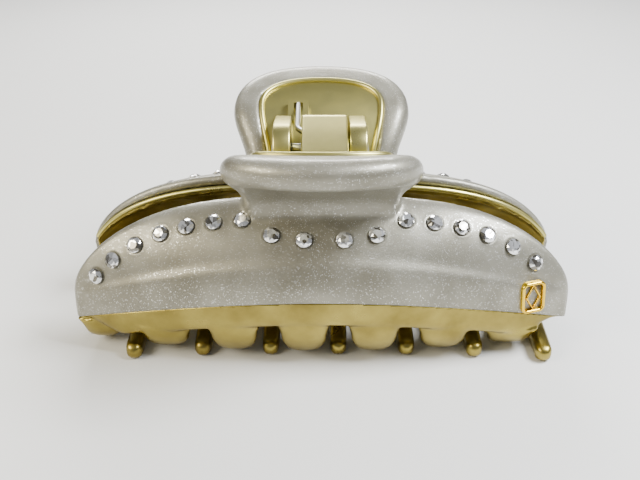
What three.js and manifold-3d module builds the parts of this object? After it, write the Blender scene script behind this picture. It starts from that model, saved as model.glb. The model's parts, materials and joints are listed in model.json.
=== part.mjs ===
// Claw clip for hair: two sprung jaws with interlocking teeth, each a pearl outer
// shell over a gold inner liner, joined by a pin hinge with a covered torsion spring.
// Millimetres, +Z up, X along the clip, the front jaw on the -Y side.
// The origin is on the ground between the teeth, below the hinge.

import * as THREE from 'three';
import { mergeVertices } from 'three/addons/utils/BufferGeometryUtils.js';
import Module from 'manifold-3d';

const wasm = await Module();
wasm.setup();

// ---- driving dimensions ---------------------------------------------------

const JAW_LENGTH = 89;
const END_HEIGHT = 12;          // height of the tip of each rounded jaw end
const ARCH_RISE = 17.2;         // middle of the top edge above the jaw ends
const TOP_OUT = 4.5;            // top edge from the mid-plane, in the middle
const TOP_OUT_END = 9;          // and at the jaw ends
const SEAM_OUT = 17.3;          // seam of shell and liner from the mid-plane
const SEAM_OUT_END = 9.9;
const SEAM_HEIGHT = 15.1;
const SEAM_HEIGHT_END = 7.2;
const BAND_DEPTH = 5.3;         // gold band below the seam
const BAND_DEPTH_END = 0.6;     // and at the jaw ends
const BAND_FADE_FROM = 35;      // from the clip's middle, where the band starts to shrink
const BAND_FADE_TO = 43;
const BAND_TUCK = 1.1;          // how far the band leans in at its lower edge

const SHELL_WALL = 2.0;
const LINER_WALL = 1.2;
const LINER_LIP = 1.2;          // liner bead past the shell, towards the mid-plane
const FIT_GAP = 0.3;            // clearance between pieces that fit together
const LINER_END_TRIM = 1;       // liner shorter than the shell at each end

const TOOTH_COUNT = 7;
const TOOTH_PITCH = 12.4;
const TOOTH_THICKNESS = 3.2;
const TOOTH_ROOT_WIDTH = 8.2;
const TOOTH_BODY_WIDTH = 3.6;
const TOOTH_TIP_WIDTH = 3.0;
const TOOTH_REACH = 12.6;       // tip past the mid-plane, in the middle
const TOOTH_REACH_END = 15.2;   // and for the last tooth
const TOOTH_CHAMFER = 0.7;
const TOOTH_SHOULDER = 0.2;     // share of a tooth that keeps its root's width
const TOOTH_NARROWED = 0.95;    // share of a tooth by which it is down to its body's width
const ROOT_BITE = 0.9;          // how far a tooth's root reaches up into the band

const HINGE_HEIGHT = 36;
const PIN_RADIUS = 1.0;
const KNUCKLE_RADIUS = 4.6;
const KNUCKLE_WIDTH = 3.1;
const HOUSING_RADIUS = 5.9;     // spring housing around the hinge axis
const HOUSING_WIDTH = 7.9;
const HOUSING_SHIFT = 0.55;     // housing middle from the clip's middle
const HOUSING_BORE = 3.9;
const HOUSING_TOP_BACK = 3.1;   // back edge of the housing's flat top, past the mid-plane
const HOUSING_TOP_UP = 5.4;     // and above the hinge
const HOUSING_CHEEK = 1.0;      // closed side of the housing
const LEG_SLOT = 1.6;           // room beside the housing for the spring's leg

const SPRING_WIRE = 1.0;
const SPRING_RADIUS = 2.7;      // to the middle of the wire
const SPRING_PITCH = 1.15;      // least room for each turn of the coil
const SPRING_LEG = 10.3;        // long leg, resting on the back thumb tab
const SPRING_LEG_SLOPE = 0.2;
const SPRING_TAIL = 1.4;        // short leg inside the housing
const LEG_REST_WIDTH = 3.8;     // notched block that the leg's end lies in
const LEG_REST_FROM = 13.6;     // along the tab
const LEG_REST_TO = 17.2;
const LEG_REST_HEIGHT = 1.5;
const LEG_REST_STOP = 0.6;      // closed end of the notch

const WEB_ROOT = 0.98;          // shares of a barrel's radius where its web leaves it
const WEB_SHOULDER_UP = 0.72;
const WEB_SHOULDER_OUT = 0.55;  // shares of the web's reach along the tab
const WEB_TIP_OUT = 0.86;
const WEB_BELLY_OUT = 0.6;
const WEB_BELLY_DROP = 2.5;
const PANEL_ROOT_S = 17;        // along the tab, where the hinge's webs end
const WEB_LOW_S = 6.2;          // and where they start

const NECK_OUT = 5;             // thumb tab's mid-line at the neck
const NECK_BASE = 23.5;
const TAB_BEND = [5, 33];       // steering points of the tab's mid-line: out, up
const TAB_SWEEP = [12.4, 39.5];
const TAB_TIP = [21.2, 41.3];
const TAB_THICKNESS = 5.5;
const NECK_HALF_WIDTH = 13.6;
const TAB_HALF_WIDTH = 16.3;
const TAB_SWELL_START = 6;      // along the tab, where it starts to widen
const TAB_ROUND_START = 17;     // and where its rounded end begins
const INSET_HALF_WIDTH_NECK = 9.6;
const INSET_HALF_WIDTH = 11.4;
const INSET_DEPTH = 0.6;        // gold panel below the tab's rim
const INSET_BORDER = 6.0;       // rim left at the tip of the tab
const TAB_ROUNDNESS = 2.2;      // 2 is an ellipse, more is squarer
const INSET_ROUNDNESS = 2.4;

const STONE_RADIUS = 1.4;
const STONE_HEIGHT = 1.4;
const STONE_PROUD = 0.55;       // table of a stone above the shell
const STONE_SIDE_X = [14, 18.9, 23.65, 28.2, 32.8, 36.95, 40.2];
const STONE_DIP_X = [3.4, 8.9];
const STONE_SHIFT = 0.45;       // middle of the whole row from the clip's middle
const STONE_ROW = 0.30;         // place down the shell, 0 at the top edge, 1 at the seam
const STONE_ROW_END = 0.52;     // the same at the jaw ends
const STONE_ROW_DIP = 0.477;    // and below the neck
const STONE_ROW_TURN = 5.5;     // how late the row turns down at the ends
const STONE_DIP_FROM = 7;       // from the row's middle, where it climbs out of its dip
const STONE_DIP_TO = 13.1;

const BADGE_WIDTH = 4.6;
const BADGE_HEIGHT = 5.9;
const BADGE_BAR = 0.6;
const BADGE_DEPTH = 1.2;
const BADGE_SINK = 0.7;         // pocket that the badge is set in
const BADGE_X = 37.1;
const BADGE_ROW = 0.80;

// ---- small helpers ----------------------------------------------------------

const HALF_LENGTH = JAW_LENGTH / 2;
const OVERRUN = 3;              // how far a cutter runs past what it cuts

const mix = (a, b, share) => a + (b - a) * share;
const smooth = (share) => share * share * (3 - 2 * share);
const clamp01 = (value) => Math.min(Math.max(value, 0), 1);
const steps = (count) => Array.from({ length: count + 1 }, (_, i) => i / count);

function toSolid(geometry) {
  const bare = geometry.clone();
  bare.deleteAttribute('normal');
  bare.deleteAttribute('uv');
  const merged = mergeVertices(bare, 1e-4);
  return new wasm.Manifold(new wasm.Mesh({
    numProp: 3,
    vertProperties: new Float32Array(merged.attributes.position.array),
    triVerts: new Uint32Array(merged.index.array),
  }));
}

function toGeometry(solid) {
  const { vertProperties, triVerts } = solid.getMesh();
  const geometry = new THREE.BufferGeometry();
  geometry.setAttribute('position', new THREE.BufferAttribute(vertProperties, 3));
  geometry.setIndex(new THREE.BufferAttribute(triVerts, 1));
  geometry.computeVertexNormals();
  return geometry;
}

const union = (solids) => solids.reduce((sum, solid) => sum.add(solid));

// Closed body through a row of rings, each a list of as many [x, y, z] points.
function loft(rings) {
  const size = rings[0].length;
  const positions = rings.flat(2);
  const indices = [];
  for (let r = 0; r + 1 < rings.length; r += 1) {
    for (let i = 0; i < size; i += 1) {
      const a = r * size + i;
      const b = r * size + (i + 1) % size;
      indices.push(a, b, b + size, a, b + size, a + size);
    }
  }
  const first = rings[0];
  const last = rings[rings.length - 1];
  for (const [ring, start, flip] of [[first, 0, true], [last, (rings.length - 1) * size, false]]) {
    const flat = flattenRing(ring);
    for (const [a, b, c] of THREE.ShapeUtils.triangulateShape(flat, [])) {
      indices.push(start + a, start + (flip ? c : b), start + (flip ? b : c));
    }
  }
  const geometry = new THREE.BufferGeometry();
  geometry.setAttribute('position', new THREE.Float32BufferAttribute(positions, 3));
  geometry.setIndex(indices);
  return facingOut(geometry);
}

// A planar ring in its own plane, turning the way of its points.
function flattenRing(ring) {
  const points = ring.map((p) => new THREE.Vector3(...p));
  const normal = new THREE.Vector3();
  points.forEach((p, i) => {
    const q = points[(i + 1) % points.length];
    normal.add(new THREE.Vector3().crossVectors(p, q));
  });
  normal.normalize();
  const side = Math.abs(normal.x) > 0.9 ? new THREE.Vector3(0, 1, 0) : new THREE.Vector3(1, 0, 0);
  const u = new THREE.Vector3().crossVectors(side, normal).normalize();
  const v = new THREE.Vector3().crossVectors(normal, u);
  return points.map((p) => new THREE.Vector2(p.dot(u), p.dot(v)));
}

// Turns every face over when the body's volume comes out negative.
function facingOut(geometry) {
  const p = geometry.attributes.position;
  const index = geometry.index.array;
  const corner = (i) => new THREE.Vector3().fromBufferAttribute(p, index[i]);
  let volume = 0;
  for (let i = 0; i < index.length; i += 3) {
    volume += corner(i).dot(corner(i + 1).cross(corner(i + 2)));
  }
  if (volume < 0) {
    for (let i = 0; i < index.length; i += 3) {
      [index[i + 1], index[i + 2]] = [index[i + 2], index[i + 1]];
    }
  }
  return geometry;
}

// A bar of any outline in the YZ plane, running along X from one x to another.
function barAlongX(outline, fromX, toX) {
  return toSolid(loft([fromX, toX].map((x) => outline.map(([y, z]) => [x, y, z]))));
}

function disc(radius, fromX, toX, sides = 18) {
  const outline = steps(sides).slice(0, -1).map((share) => {
    const angle = 2 * Math.PI * share;
    return [radius * Math.cos(angle), HINGE_HEIGHT + radius * Math.sin(angle)];
  });
  return barAlongX(outline, fromX, toX);
}

// ---- shape of a jaw: `out` is the distance from the mid-plane ------------------

const along = (x) => Math.min(Math.abs(x) / HALF_LENGTH, 1);

const topEdge = (x) => ({
  out: mix(TOP_OUT, TOP_OUT_END, along(x) ** 3),
  up: END_HEIGHT + ARCH_RISE * (1 - along(x) ** 3.2) ** 0.625,
});

const seam = (x) => ({
  out: mix(SEAM_OUT, SEAM_OUT_END, along(x) ** 2.2),
  up: mix(SEAM_HEIGHT, SEAM_HEIGHT_END, along(x) ** 2),
});

function bandEdge(x) {
  const fade = clamp01((Math.abs(x) - BAND_FADE_FROM) / (BAND_FADE_TO - BAND_FADE_FROM));
  return {
    out: seam(x).out - BAND_TUCK,
    up: seam(x).up - mix(BAND_DEPTH, BAND_DEPTH_END, smooth(fade)),
  };
}

const BULGE = 2 / 1.8;           // fullness of the section between top edge and seam

const lean = (x) => along(x) ** 6; // how upright the wall stands at its top edge

// Point of the jaw's outer skin, from row 0 at the top edge to row 1 at the seam,
// or of the same skin drawn in by `depth`.
function skin(x, row, depth = 0) {
  const top = topEdge(x);
  const low = seam(x);
  const angle = clamp01(row) * Math.PI / 2;
  return [
    mix(top.out - depth * lean(x), low.out - depth, Math.sin(angle) ** BULGE),
    mix(low.up, top.up - depth * (1 - 0.6 * lean(x)), Math.cos(angle) ** BULGE),
  ];
}

const onFront = (x, [out, up]) => [x, -out, up];

// Stations along X, closer together where the ends turn down.
function stations(count, trim) {
  const reach = HALF_LENGTH - trim;
  return steps(count).map((share) => reach * Math.sin(Math.PI * (share - 0.5)));
}

const SKIN_ROWS = steps(6);
const X_STATIONS = 20;

// Wall between two depths of the skin, from the top edge to the seam.
function skinWall(from, to, trim) {
  return toSolid(loft(stations(X_STATIONS, trim).map((x) => [
    ...SKIN_ROWS.map((row) => onFront(x, skin(x, row, from))),
    ...SKIN_ROWS.toReversed().map((row) => onFront(x, skin(x, row, to))),
  ])));
}

// Everything inside a depth of the skin, down to below the teeth.
function skinCore(depth) {
  return toSolid(loft(stations(X_STATIONS, -OVERRUN / 10).map((x) => {
    const rows = SKIN_ROWS.map((row) => skin(x, row, depth));
    const [, topUp] = rows[0];
    const [lowOut] = rows[rows.length - 1];
    return [[-OVERRUN, topUp], ...rows, [lowOut, -OVERRUN], [-OVERRUN, -OVERRUN]]
      .map((point) => onFront(x, point));
  })));
}

// ---- thumb tab ----------------------------------------------------------------

const HALF_TAB = TAB_THICKNESS / 2;
const TAB_CURVE = new THREE.CubicBezierCurve(
  new THREE.Vector2(NECK_OUT, NECK_BASE),
  new THREE.Vector2(...TAB_BEND),
  new THREE.Vector2(...TAB_SWEEP),
  new THREE.Vector2(...TAB_TIP),
);
const TAB_CURVE_LENGTH = TAB_CURVE.getLength();
const TAB_LENGTH = TAB_CURVE_LENGTH + HALF_TAB;

// Place on the tab's mid-line, run on straight past both ends of the curve.
function tabFrame(s) {
  const share = clamp01(s / TAB_CURVE_LENGTH);
  const point = TAB_CURVE.getPointAt(share);
  const tangent = TAB_CURVE.getTangentAt(share);
  const past = s - share * TAB_CURVE_LENGTH;
  return { point: point.addScaledVector(tangent, past), inward: new THREE.Vector2(-tangent.y, tangent.x) };
}

// Point at x across the tab, s along it and `lift` towards the other tab.
function onTab(x, s, lift) {
  const { point, inward } = tabFrame(s);
  return onFront(x, [point.x + inward.x * lift, point.y + inward.y * lift]);
}

// Half width at s: from the neck's to the full one, then rounded off to nothing at the end.
function roundedHalfWidth(s, neck, full, end, power) {
  if (s <= TAB_ROUND_START) {
    const swell = (s - TAB_SWELL_START) / (TAB_ROUND_START - TAB_SWELL_START);
    return mix(neck, full, smooth(clamp01(swell)));
  }
  const past = clamp01((s - TAB_ROUND_START) / (end - TAB_ROUND_START));
  return full * (1 - past ** power) ** (1 / power);
}

const tabHalfWidth = (s) => roundedHalfWidth(
  s, NECK_HALF_WIDTH, TAB_HALF_WIDTH, TAB_LENGTH, TAB_ROUNDNESS);

const insetHalfWidth = (s) => roundedHalfWidth(
  s, INSET_HALF_WIDTH_NECK, INSET_HALF_WIDTH, TAB_LENGTH - INSET_BORDER, INSET_ROUNDNESS);

const TAB_OUTLINE = steps(48).map((share) => {
  const s = TAB_LENGTH * (1 - (1 - share) ** 2);
  return new THREE.Vector2(tabHalfWidth(s), s);
});

function distanceToOutline(here) {
  return Math.min(...TAB_OUTLINE.slice(1).map((b, i) => {
    const a = TAB_OUTLINE[i];
    const side = b.clone().sub(a);
    const share = clamp01(here.clone().sub(a).dot(side) / side.lengthSq());
    return a.clone().addScaledVector(side, share).distanceTo(here);
  }));
}

// Half thickness of the pillowy tab, falling to nothing at its outline.
function tabHalfThickness(x, s) {
  const edge = Math.min(distanceToOutline(new THREE.Vector2(Math.abs(x), s)), HALF_TAB);
  return Math.sqrt(edge * (2 * HALF_TAB - edge));
}

function tabPad() {
  const across = steps(8).map((share) => -Math.cos(Math.PI * share));
  const rings = steps(11).map((share) => {
    const s = (TAB_LENGTH - 0.02) * Math.sin(share * Math.PI / 2) ** 0.9;
    const halfWidth = tabHalfWidth(s);
    const lift = (c) => Math.max(tabHalfThickness(c * halfWidth, s), 0.02);
    return [
      ...across.map((c) => onTab(c * halfWidth, s, lift(c))),
      ...across.toReversed().map((c) => onTab(c * halfWidth, s, -lift(c))),
    ];
  });
  return toSolid(loft(rings));
}

// Slab on the tab's inner face between two lifts, `margin` inside the inset's outline.
function insetSlab(fromLift, toLift, margin, startS) {
  const end = TAB_LENGTH - INSET_BORDER - margin;
  const rings = steps(10).map((share) => {
    const s = mix(startS, end - 0.05, Math.sin(share * Math.PI / 2));
    const halfWidth = Math.max(insetHalfWidth(s + margin) - margin, 0.3);
    return [[-halfWidth, fromLift], [halfWidth, fromLift], [halfWidth, toLift], [-halfWidth, toLift]]
      .map(([x, lift]) => onTab(x, s, lift));
  });
  return toSolid(loft(rings));
}

// Bar along the tab between two places across, two along and two lifts.
function tabBar([fromX, toX], [fromS, toS], [fromLift, toLift]) {
  const corners = [[fromX, fromLift], [toX, fromLift], [toX, toLift], [fromX, toLift]];
  return toSolid(loft(steps(8).map((share) => corners.map(
    ([x, lift]) => onTab(x, mix(fromS, toS, share), lift)))));
}

const PANEL_TOP = HALF_TAB - INSET_DEPTH;
const PANEL_LOW = PANEL_TOP - LINER_WALL;

// ---- stones and badge -----------------------------------------------------------

// Turns a shape whose +Z is outward to stand on the front jaw's skin at x and row.
function standOnSkin(x, row) {
  const step = 0.02;
  const at = (dx, dRow) => new THREE.Vector3(...onFront(x + dx, skin(x + dx, row + dRow)));
  const alongX = at(step, 0).sub(at(-step, 0)).normalize();
  const upSkin = at(0, -step).sub(at(0, step)).normalize();
  const outward = new THREE.Vector3().crossVectors(alongX, upSkin).normalize();
  const up = new THREE.Vector3().crossVectors(outward, alongX);
  return new THREE.Matrix4().makeBasis(alongX, up, outward).setPosition(at(0, 0));
}

function stoneRow(x) {
  const fromMiddle = Math.abs(x - STONE_SHIFT);
  const side = mix(STONE_ROW, STONE_ROW_END, clamp01(fromMiddle / STONE_SIDE_X.at(-1)) ** STONE_ROW_TURN);
  const climb = (fromMiddle - STONE_DIP_FROM) / (STONE_DIP_TO - STONE_DIP_FROM);
  return mix(STONE_ROW_DIP, side, smooth(clamp01(climb)));
}

// The same place, but turned until the shape's own X lies level.
function standUpright(x, row) {
  const place = standOnSkin(x, row);
  const outward = new THREE.Vector3().setFromMatrixColumn(place, 2);
  const level = new THREE.Vector3(0, 0, 1).cross(outward).normalize();
  const up = new THREE.Vector3().crossVectors(outward, level);
  return new THREE.Matrix4().makeBasis(level, up, outward).copyPosition(place);
}

function lathe(profile, sides) {
  const points = profile.map(([radius, height]) => new THREE.Vector2(radius, height));
  return new THREE.LatheGeometry(points, sides).rotateX(Math.PI / 2);
}

// Brilliant-cut stone, its flat table up at STONE_PROUD.
function stoneGeometry() {
  const girdle = STONE_PROUD - STONE_HEIGHT * 0.35;
  return facingOut(mergeBare(lathe([
    [0, STONE_PROUD - STONE_HEIGHT],
    [STONE_RADIUS, girdle],
    [STONE_RADIUS * 0.58, STONE_PROUD],
    [0, STONE_PROUD],
  ], 8)));
}

function mergeBare(geometry) {
  geometry.deleteAttribute('normal');
  geometry.deleteAttribute('uv');
  return mergeVertices(geometry, 1e-4);
}

function stoneSocket() {
  const radius = STONE_RADIUS + FIT_GAP;
  const girdle = STONE_PROUD - STONE_HEIGHT * 0.35;
  const tip = STONE_PROUD - STONE_HEIGHT - FIT_GAP;
  return facingOut(mergeBare(lathe([
    [0, tip],
    [radius, girdle - FIT_GAP],
    [radius, OVERRUN],
    [0, OVERRUN],
  ], 8)));
}

function roundedRectangle(width, height, radius) {
  const shape = new THREE.Shape();
  const x = width / 2 - radius;
  const y = height / 2 - radius;
  shape.absarc(x, y, radius, 0, Math.PI / 2);
  shape.absarc(-x, y, radius, Math.PI / 2, Math.PI);
  shape.absarc(-x, -y, radius, Math.PI, Math.PI * 1.5);
  shape.absarc(x, -y, radius, Math.PI * 1.5, Math.PI * 2);
  return shape;
}

const slabOf = (shape, depth) => new THREE.ExtrudeGeometry(
  shape, { depth, bevelEnabled: false, curveSegments: 3 });

// Open frame with a plain lozenge held between its top and bottom bars.
function badgeSolid() {
  const outer = slabOf(roundedRectangle(BADGE_WIDTH, BADGE_HEIGHT, 0.9), BADGE_DEPTH);
  const window = slabOf(
    roundedRectangle(BADGE_WIDTH - 2 * BADGE_BAR, BADGE_HEIGHT - 2 * BADGE_BAR, 0.5), BADGE_DEPTH * 3);
  window.translate(0, 0, -BADGE_DEPTH);
  const lozenge = (halfWidth, halfHeight, depth) => {
    const shape = new THREE.Shape([[halfWidth, 0], [0, halfHeight], [-halfWidth, 0], [0, -halfHeight]]
      .map(([x, y]) => new THREE.Vector2(x, y)));
    return slabOf(shape, depth);
  };
  const reach = BADGE_HEIGHT / 2 - BADGE_BAR * 0.4;
  const wide = BADGE_WIDTH / 2 - BADGE_BAR * 1.6;
  const motif = toSolid(lozenge(wide, reach, BADGE_DEPTH * 0.8));
  const eye = toSolid(lozenge(wide - BADGE_BAR * 1.1, reach - BADGE_BAR * 2, BADGE_DEPTH * 3)
    .translate(0, 0, -BADGE_DEPTH));
  return toSolid(outer).subtract(toSolid(window)).add(motif.subtract(eye))
    .translate([0, 0, FIT_GAP - BADGE_SINK]);
}

function badgePocket() {
  const shape = roundedRectangle(BADGE_WIDTH + 2 * FIT_GAP, BADGE_HEIGHT + 2 * FIT_GAP, 0.9);
  return slabOf(shape, OVERRUN).translate(0, 0, -BADGE_SINK);
}

const placed = (geometry, matrix) => toSolid(geometry.clone().applyMatrix4(matrix));

// ---- jaws ---------------------------------------------------------------------

const BADGE_PLACE = standUpright(BADGE_X, BADGE_ROW);

function jawShell(stoneXs, withBadge) {
  let shell = skinWall(0, SHELL_WALL, 0).add(tabPad().subtract(skinCore(SHELL_WALL * 0.8)));
  const pocket = [PANEL_LOW - FIT_GAP, HALF_TAB + OVERRUN];
  const hingeRoom = [-HINGE_REACH - FIT_GAP, HINGE_REACH + FIT_GAP];
  shell = shell
    .subtract(insetSlab(...pocket, 0, -OVERRUN))
    .subtract(tabBar(hingeRoom, [0, PANEL_ROOT_S], pocket));
  const socket = stoneSocket();
  for (const x of stoneXs) {
    shell = shell.subtract(placed(socket, standOnSkin(x, stoneRow(x))));
  }
  return withBadge ? shell.subtract(placed(badgePocket(), BADGE_PLACE)) : shell;
}

// Inner skin of the jaw with its bead along the top and its band below the seam.
function linerWall() {
  const outer = SHELL_WALL + FIT_GAP;
  const inner = outer + LINER_WALL;
  return toSolid(loft(stations(X_STATIONS, LINER_END_TRIM).map((x) => {
    const edge = bandEdge(x);
    const low = seam(x);
    const lip = LINER_LIP * (1 - 0.8 * lean(x));
    const [lipOut, lipUp] = skin(x, 0, outer);
    const [lipInnerOut, lipInnerUp] = skin(x, 0, inner);
    const [innerOut, innerUp] = skin(x, 1, inner);
    return [
      [lipOut - lip, lipUp],
      ...SKIN_ROWS.map((row) => skin(x, row, outer)),
      [low.out - outer, low.up - FIT_GAP],
      [low.out, low.up - FIT_GAP],
      [mix(low.out, edge.out, 0.35), mix(low.up, edge.up, 0.6)],
      [edge.out, edge.up],
      [edge.out - inner + BAND_TUCK, edge.up],
      [innerOut, innerUp],
      ...SKIN_ROWS.toReversed().slice(1).map((row) => skin(x, row, inner)),
      [lipInnerOut - lip, lipInnerUp],
    ].map((point) => onFront(x, point));
  })));
}

// One tooth of the front jaw: down from the band, then level across the mid-plane.
function tooth(x) {
  const edge = bandEdge(x);
  const middle = TOOTH_THICKNESS / 2;
  const rootOut = edge.out - (SHELL_WALL + FIT_GAP + LINER_WALL - BAND_TUCK) / 2;
  const rootWidth = Math.min(TOOTH_ROOT_WIDTH, 2 * (HALF_LENGTH - LINER_END_TRIM - Math.abs(x)));
  const rootUp = Math.min(edge.up + ROOT_BITE, seam(Math.abs(x) + rootWidth / 2).up - 2 * FIT_GAP);
  const share = Math.abs(x) / HALF_LENGTH;
  const reach = mix(TOOTH_REACH, TOOTH_REACH_END, share ** 3);
  const bend = Math.min(8.5, rootOut * 0.8);
  const curve = new THREE.CubicBezierCurve(
    new THREE.Vector2(rootOut, rootUp),
    new THREE.Vector2(rootOut - 0.2, mix(middle, rootUp, 0.35)),
    new THREE.Vector2(rootOut - bend * 0.35, middle),
    new THREE.Vector2(rootOut - bend, middle),
  );
  const ring = (point, tangent, width, thickness) => {
    const w = width / 2;
    const t = thickness / 2;
    const c = TOOTH_CHAMFER * Math.min(1, thickness / TOOTH_THICKNESS);
    const corners = [
      [w, t - c], [w - c, t], [c - w, t], [-w, t - c],
      [-w, c - t], [c - w, -t], [w - c, -t], [w, c - t],
    ];
    return corners.map(([across, lift]) => [
      x + across, -(point.x - tangent.y * lift), point.y + tangent.x * lift]);
  };
  const narrowed = (s) => smooth(clamp01((s - TOOTH_SHOULDER) / (TOOTH_NARROWED - TOOTH_SHOULDER)));
  const rings = steps(6).map((s) => ring(
    curve.getPointAt(s), curve.getTangentAt(s),
    mix(rootWidth, TOOTH_BODY_WIDTH, narrowed(s)), TOOTH_THICKNESS));
  const level = new THREE.Vector2(-1, 0);
  for (const [back, scale] of [[1.4, 1], [0.5, 0.82], [0, 0.5]]) {
    const place = new THREE.Vector2(back - reach, middle);
    rings.push(ring(place, level, TOOTH_TIP_WIDTH * scale, TOOTH_THICKNESS * scale));
  }
  return toSolid(loft(rings));
}

const toothXs = Array.from(
  { length: TOOTH_COUNT }, (_, k) => (k - (TOOTH_COUNT - 1) / 2 - 0.25) * TOOTH_PITCH);

function jawLiner() {
  const panel = insetSlab(PANEL_LOW, PANEL_TOP, FIT_GAP, TOP_PANEL_START);
  return union([linerWall(), panel, ...toothXs.map(tooth)]);
}

// The panel starts level with the bead that it grows from.
const TOP_PANEL_START = topEdge(0).up - SHELL_WALL - FIT_GAP - LINER_WALL - NECK_BASE;

const asBack = (solid) => solid.rotate([0, 0, 180]);

// ---- hinge --------------------------------------------------------------------

const HOUSING_FROM = HOUSING_SHIFT - HOUSING_WIDTH / 2;
const HOUSING_TO = HOUSING_SHIFT + HOUSING_WIDTH / 2;
const LEG_X = HOUSING_FROM - LEG_SLOT / 2;
const LEFT_KNUCKLE_TO = HOUSING_FROM - LEG_SLOT - FIT_GAP;
const RIGHT_KNUCKLE_FROM = HOUSING_TO + FIT_GAP;
const HINGE_REACH = KNUCKLE_WIDTH + Math.max(-LEFT_KNUCKLE_TO, RIGHT_KNUCKLE_FROM);

// Round barrel on the hinge axis with a web down to a tab's gold panel.
function webbedBarrel(radius, fromX, toX, side) {
  const reach = tabFrame(PANEL_ROOT_S).point;
  const low = tabFrame(WEB_LOW_S).point;
  const web = [
    [0, HINGE_HEIGHT + radius * WEB_ROOT],
    [-reach.x * WEB_SHOULDER_OUT, HINGE_HEIGHT + radius * WEB_SHOULDER_UP],
    [-reach.x * WEB_TIP_OUT, reach.y],
    [-reach.x * WEB_BELLY_OUT, HINGE_HEIGHT - WEB_BELLY_DROP],
    [-low.x, low.y],
    [-low.x + LINER_WALL, low.y],
    [0, HINGE_HEIGHT - radius * WEB_ROOT],
  ].map(([y, z]) => [y * side, z]);
  return disc(radius, fromX, toX).add(barAlongX(web, fromX, toX));
}

// Everything above the flat slanting top of the spring housing.
function aboveHousing() {
  const topUp = HINGE_HEIGHT + HOUSING_TOP_UP;
  const { point } = tabFrame(PANEL_ROOT_S);
  const drop = (topUp - point.y) / (HOUSING_TOP_BACK + point.x);
  const outline = [
    [HOUSING_TOP_BACK + OVERRUN, topUp + drop * OVERRUN],
    [-point.x - OVERRUN, point.y - drop * OVERRUN],
    [-point.x - OVERRUN, topUp + OVERRUN],
    [HOUSING_TOP_BACK + OVERRUN, topUp + OVERRUN],
  ];
  return barAlongX(outline, HOUSING_FROM - OVERRUN, HOUSING_TO + OVERRUN);
}

function springHousing() {
  const block = webbedBarrel(HOUSING_RADIUS, HOUSING_FROM, HOUSING_TO, 1);
  return block
    .subtract(aboveHousing())
    .subtract(disc(HOUSING_BORE, HOUSING_FROM - OVERRUN, HOUSING_TO - HOUSING_CHEEK))
    .subtract(disc(PIN_RADIUS + FIT_GAP, HOUSING_FROM, HOUSING_TO + OVERRUN, 12));
}

function knuckles() {
  const left = webbedBarrel(KNUCKLE_RADIUS, LEFT_KNUCKLE_TO - KNUCKLE_WIDTH, LEFT_KNUCKLE_TO, -1);
  const right = webbedBarrel(
    KNUCKLE_RADIUS, RIGHT_KNUCKLE_FROM, RIGHT_KNUCKLE_FROM + KNUCKLE_WIDTH, -1);
  const hole = disc(PIN_RADIUS + FIT_GAP, -HALF_LENGTH, HALF_LENGTH, 12);
  return [left.subtract(hole), right.subtract(hole)];
}

// Keeps a web out of the silver behind the panel that it grows from.
const behindPanel = () => insetSlab(-HALF_TAB - OVERRUN, PANEL_LOW, -OVERRUN, -OVERRUN);

function frontLiner() {
  return jawLiner().add(springHousing().subtract(behindPanel()));
}

// Block on the back tab's panel, notched for the end of the spring's leg.
function legRest() {
  const top = PANEL_TOP + LEG_REST_HEIGHT;
  const half = LEG_REST_WIDTH / 2;
  const room = SPRING_WIRE / 2 + FIT_GAP;
  const notchTo = LEG_REST_TO - LEG_REST_STOP;
  const block = tabBar([-LEG_X - half, -LEG_X + half], [LEG_REST_FROM, LEG_REST_TO], [PANEL_LOW, top]);
  const notch = tabBar([-LEG_X - room, -LEG_X + room], [0, notchTo], [PANEL_TOP, top + OVERRUN]);
  return block.subtract(notch);
}

function backLiner() {
  const behind = asBack(behindPanel());
  const barrels = knuckles().map((knuckle) => knuckle.subtract(behind));
  return union([asBack(jawLiner().add(legRest())), ...barrels]);
}

function hingePin() {
  const from = LEFT_KNUCKLE_TO - KNUCKLE_WIDTH - FIT_GAP;
  const to = RIGHT_KNUCKLE_FROM + KNUCKLE_WIDTH + FIT_GAP;
  return disc(PIN_RADIUS, from, to, 16);
}

// Coil about the hinge axis with a long leg over the back tab and a short one inside.
function torsionSpring() {
  const start = HOUSING_TO - HOUSING_CHEEK - FIT_GAP - SPRING_WIRE / 2;
  const end = HOUSING_FROM + SPRING_WIRE;
  const onAxis = (x, angle) => new THREE.Vector3(
    x, SPRING_RADIUS * Math.cos(angle), HINGE_HEIGHT + SPRING_RADIUS * Math.sin(angle));
  const firstAngle = Math.PI;
  const turns = Math.floor((start - end) / SPRING_PITCH - 0.25) + 0.25;
  const sweep = 2 * Math.PI * turns;
  const points = [onAxis(start, firstAngle).add(new THREE.Vector3(0, 0, -SPRING_TAIL))];
  const count = Math.ceil(turns * 9);
  for (const share of steps(count)) {
    points.push(onAxis(mix(start, end, share), firstAngle - sweep * share));
  }
  const top = HINGE_HEIGHT + SPRING_RADIUS;
  for (const out of [SPRING_RADIUS, SPRING_LEG]) {
    points.push(new THREE.Vector3(LEG_X, out, top + (out - SPRING_RADIUS) * SPRING_LEG_SLOPE));
  }
  return wire(points, SPRING_WIRE / 2);
}

// Six-sided wire through a list of points.
function wire(points, radius) {
  let side = new THREE.Vector3(1, 0, 0);
  const rings = points.map((point, i) => {
    const before = points[Math.max(i - 1, 0)];
    const after = points[Math.min(i + 1, points.length - 1)];
    const tangent = after.clone().sub(before).normalize();
    side = side.clone().addScaledVector(tangent, -side.dot(tangent)).normalize();
    const other = new THREE.Vector3().crossVectors(tangent, side);
    return steps(6).slice(0, -1).map((share) => {
      const angle = 2 * Math.PI * share;
      return point.clone()
        .addScaledVector(side, radius * Math.cos(angle))
        .addScaledVector(other, radius * Math.sin(angle))
        .toArray();
    });
  });
  return toSolid(loft(rings));
}

// ---- assembly -------------------------------------------------------------------

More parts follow.
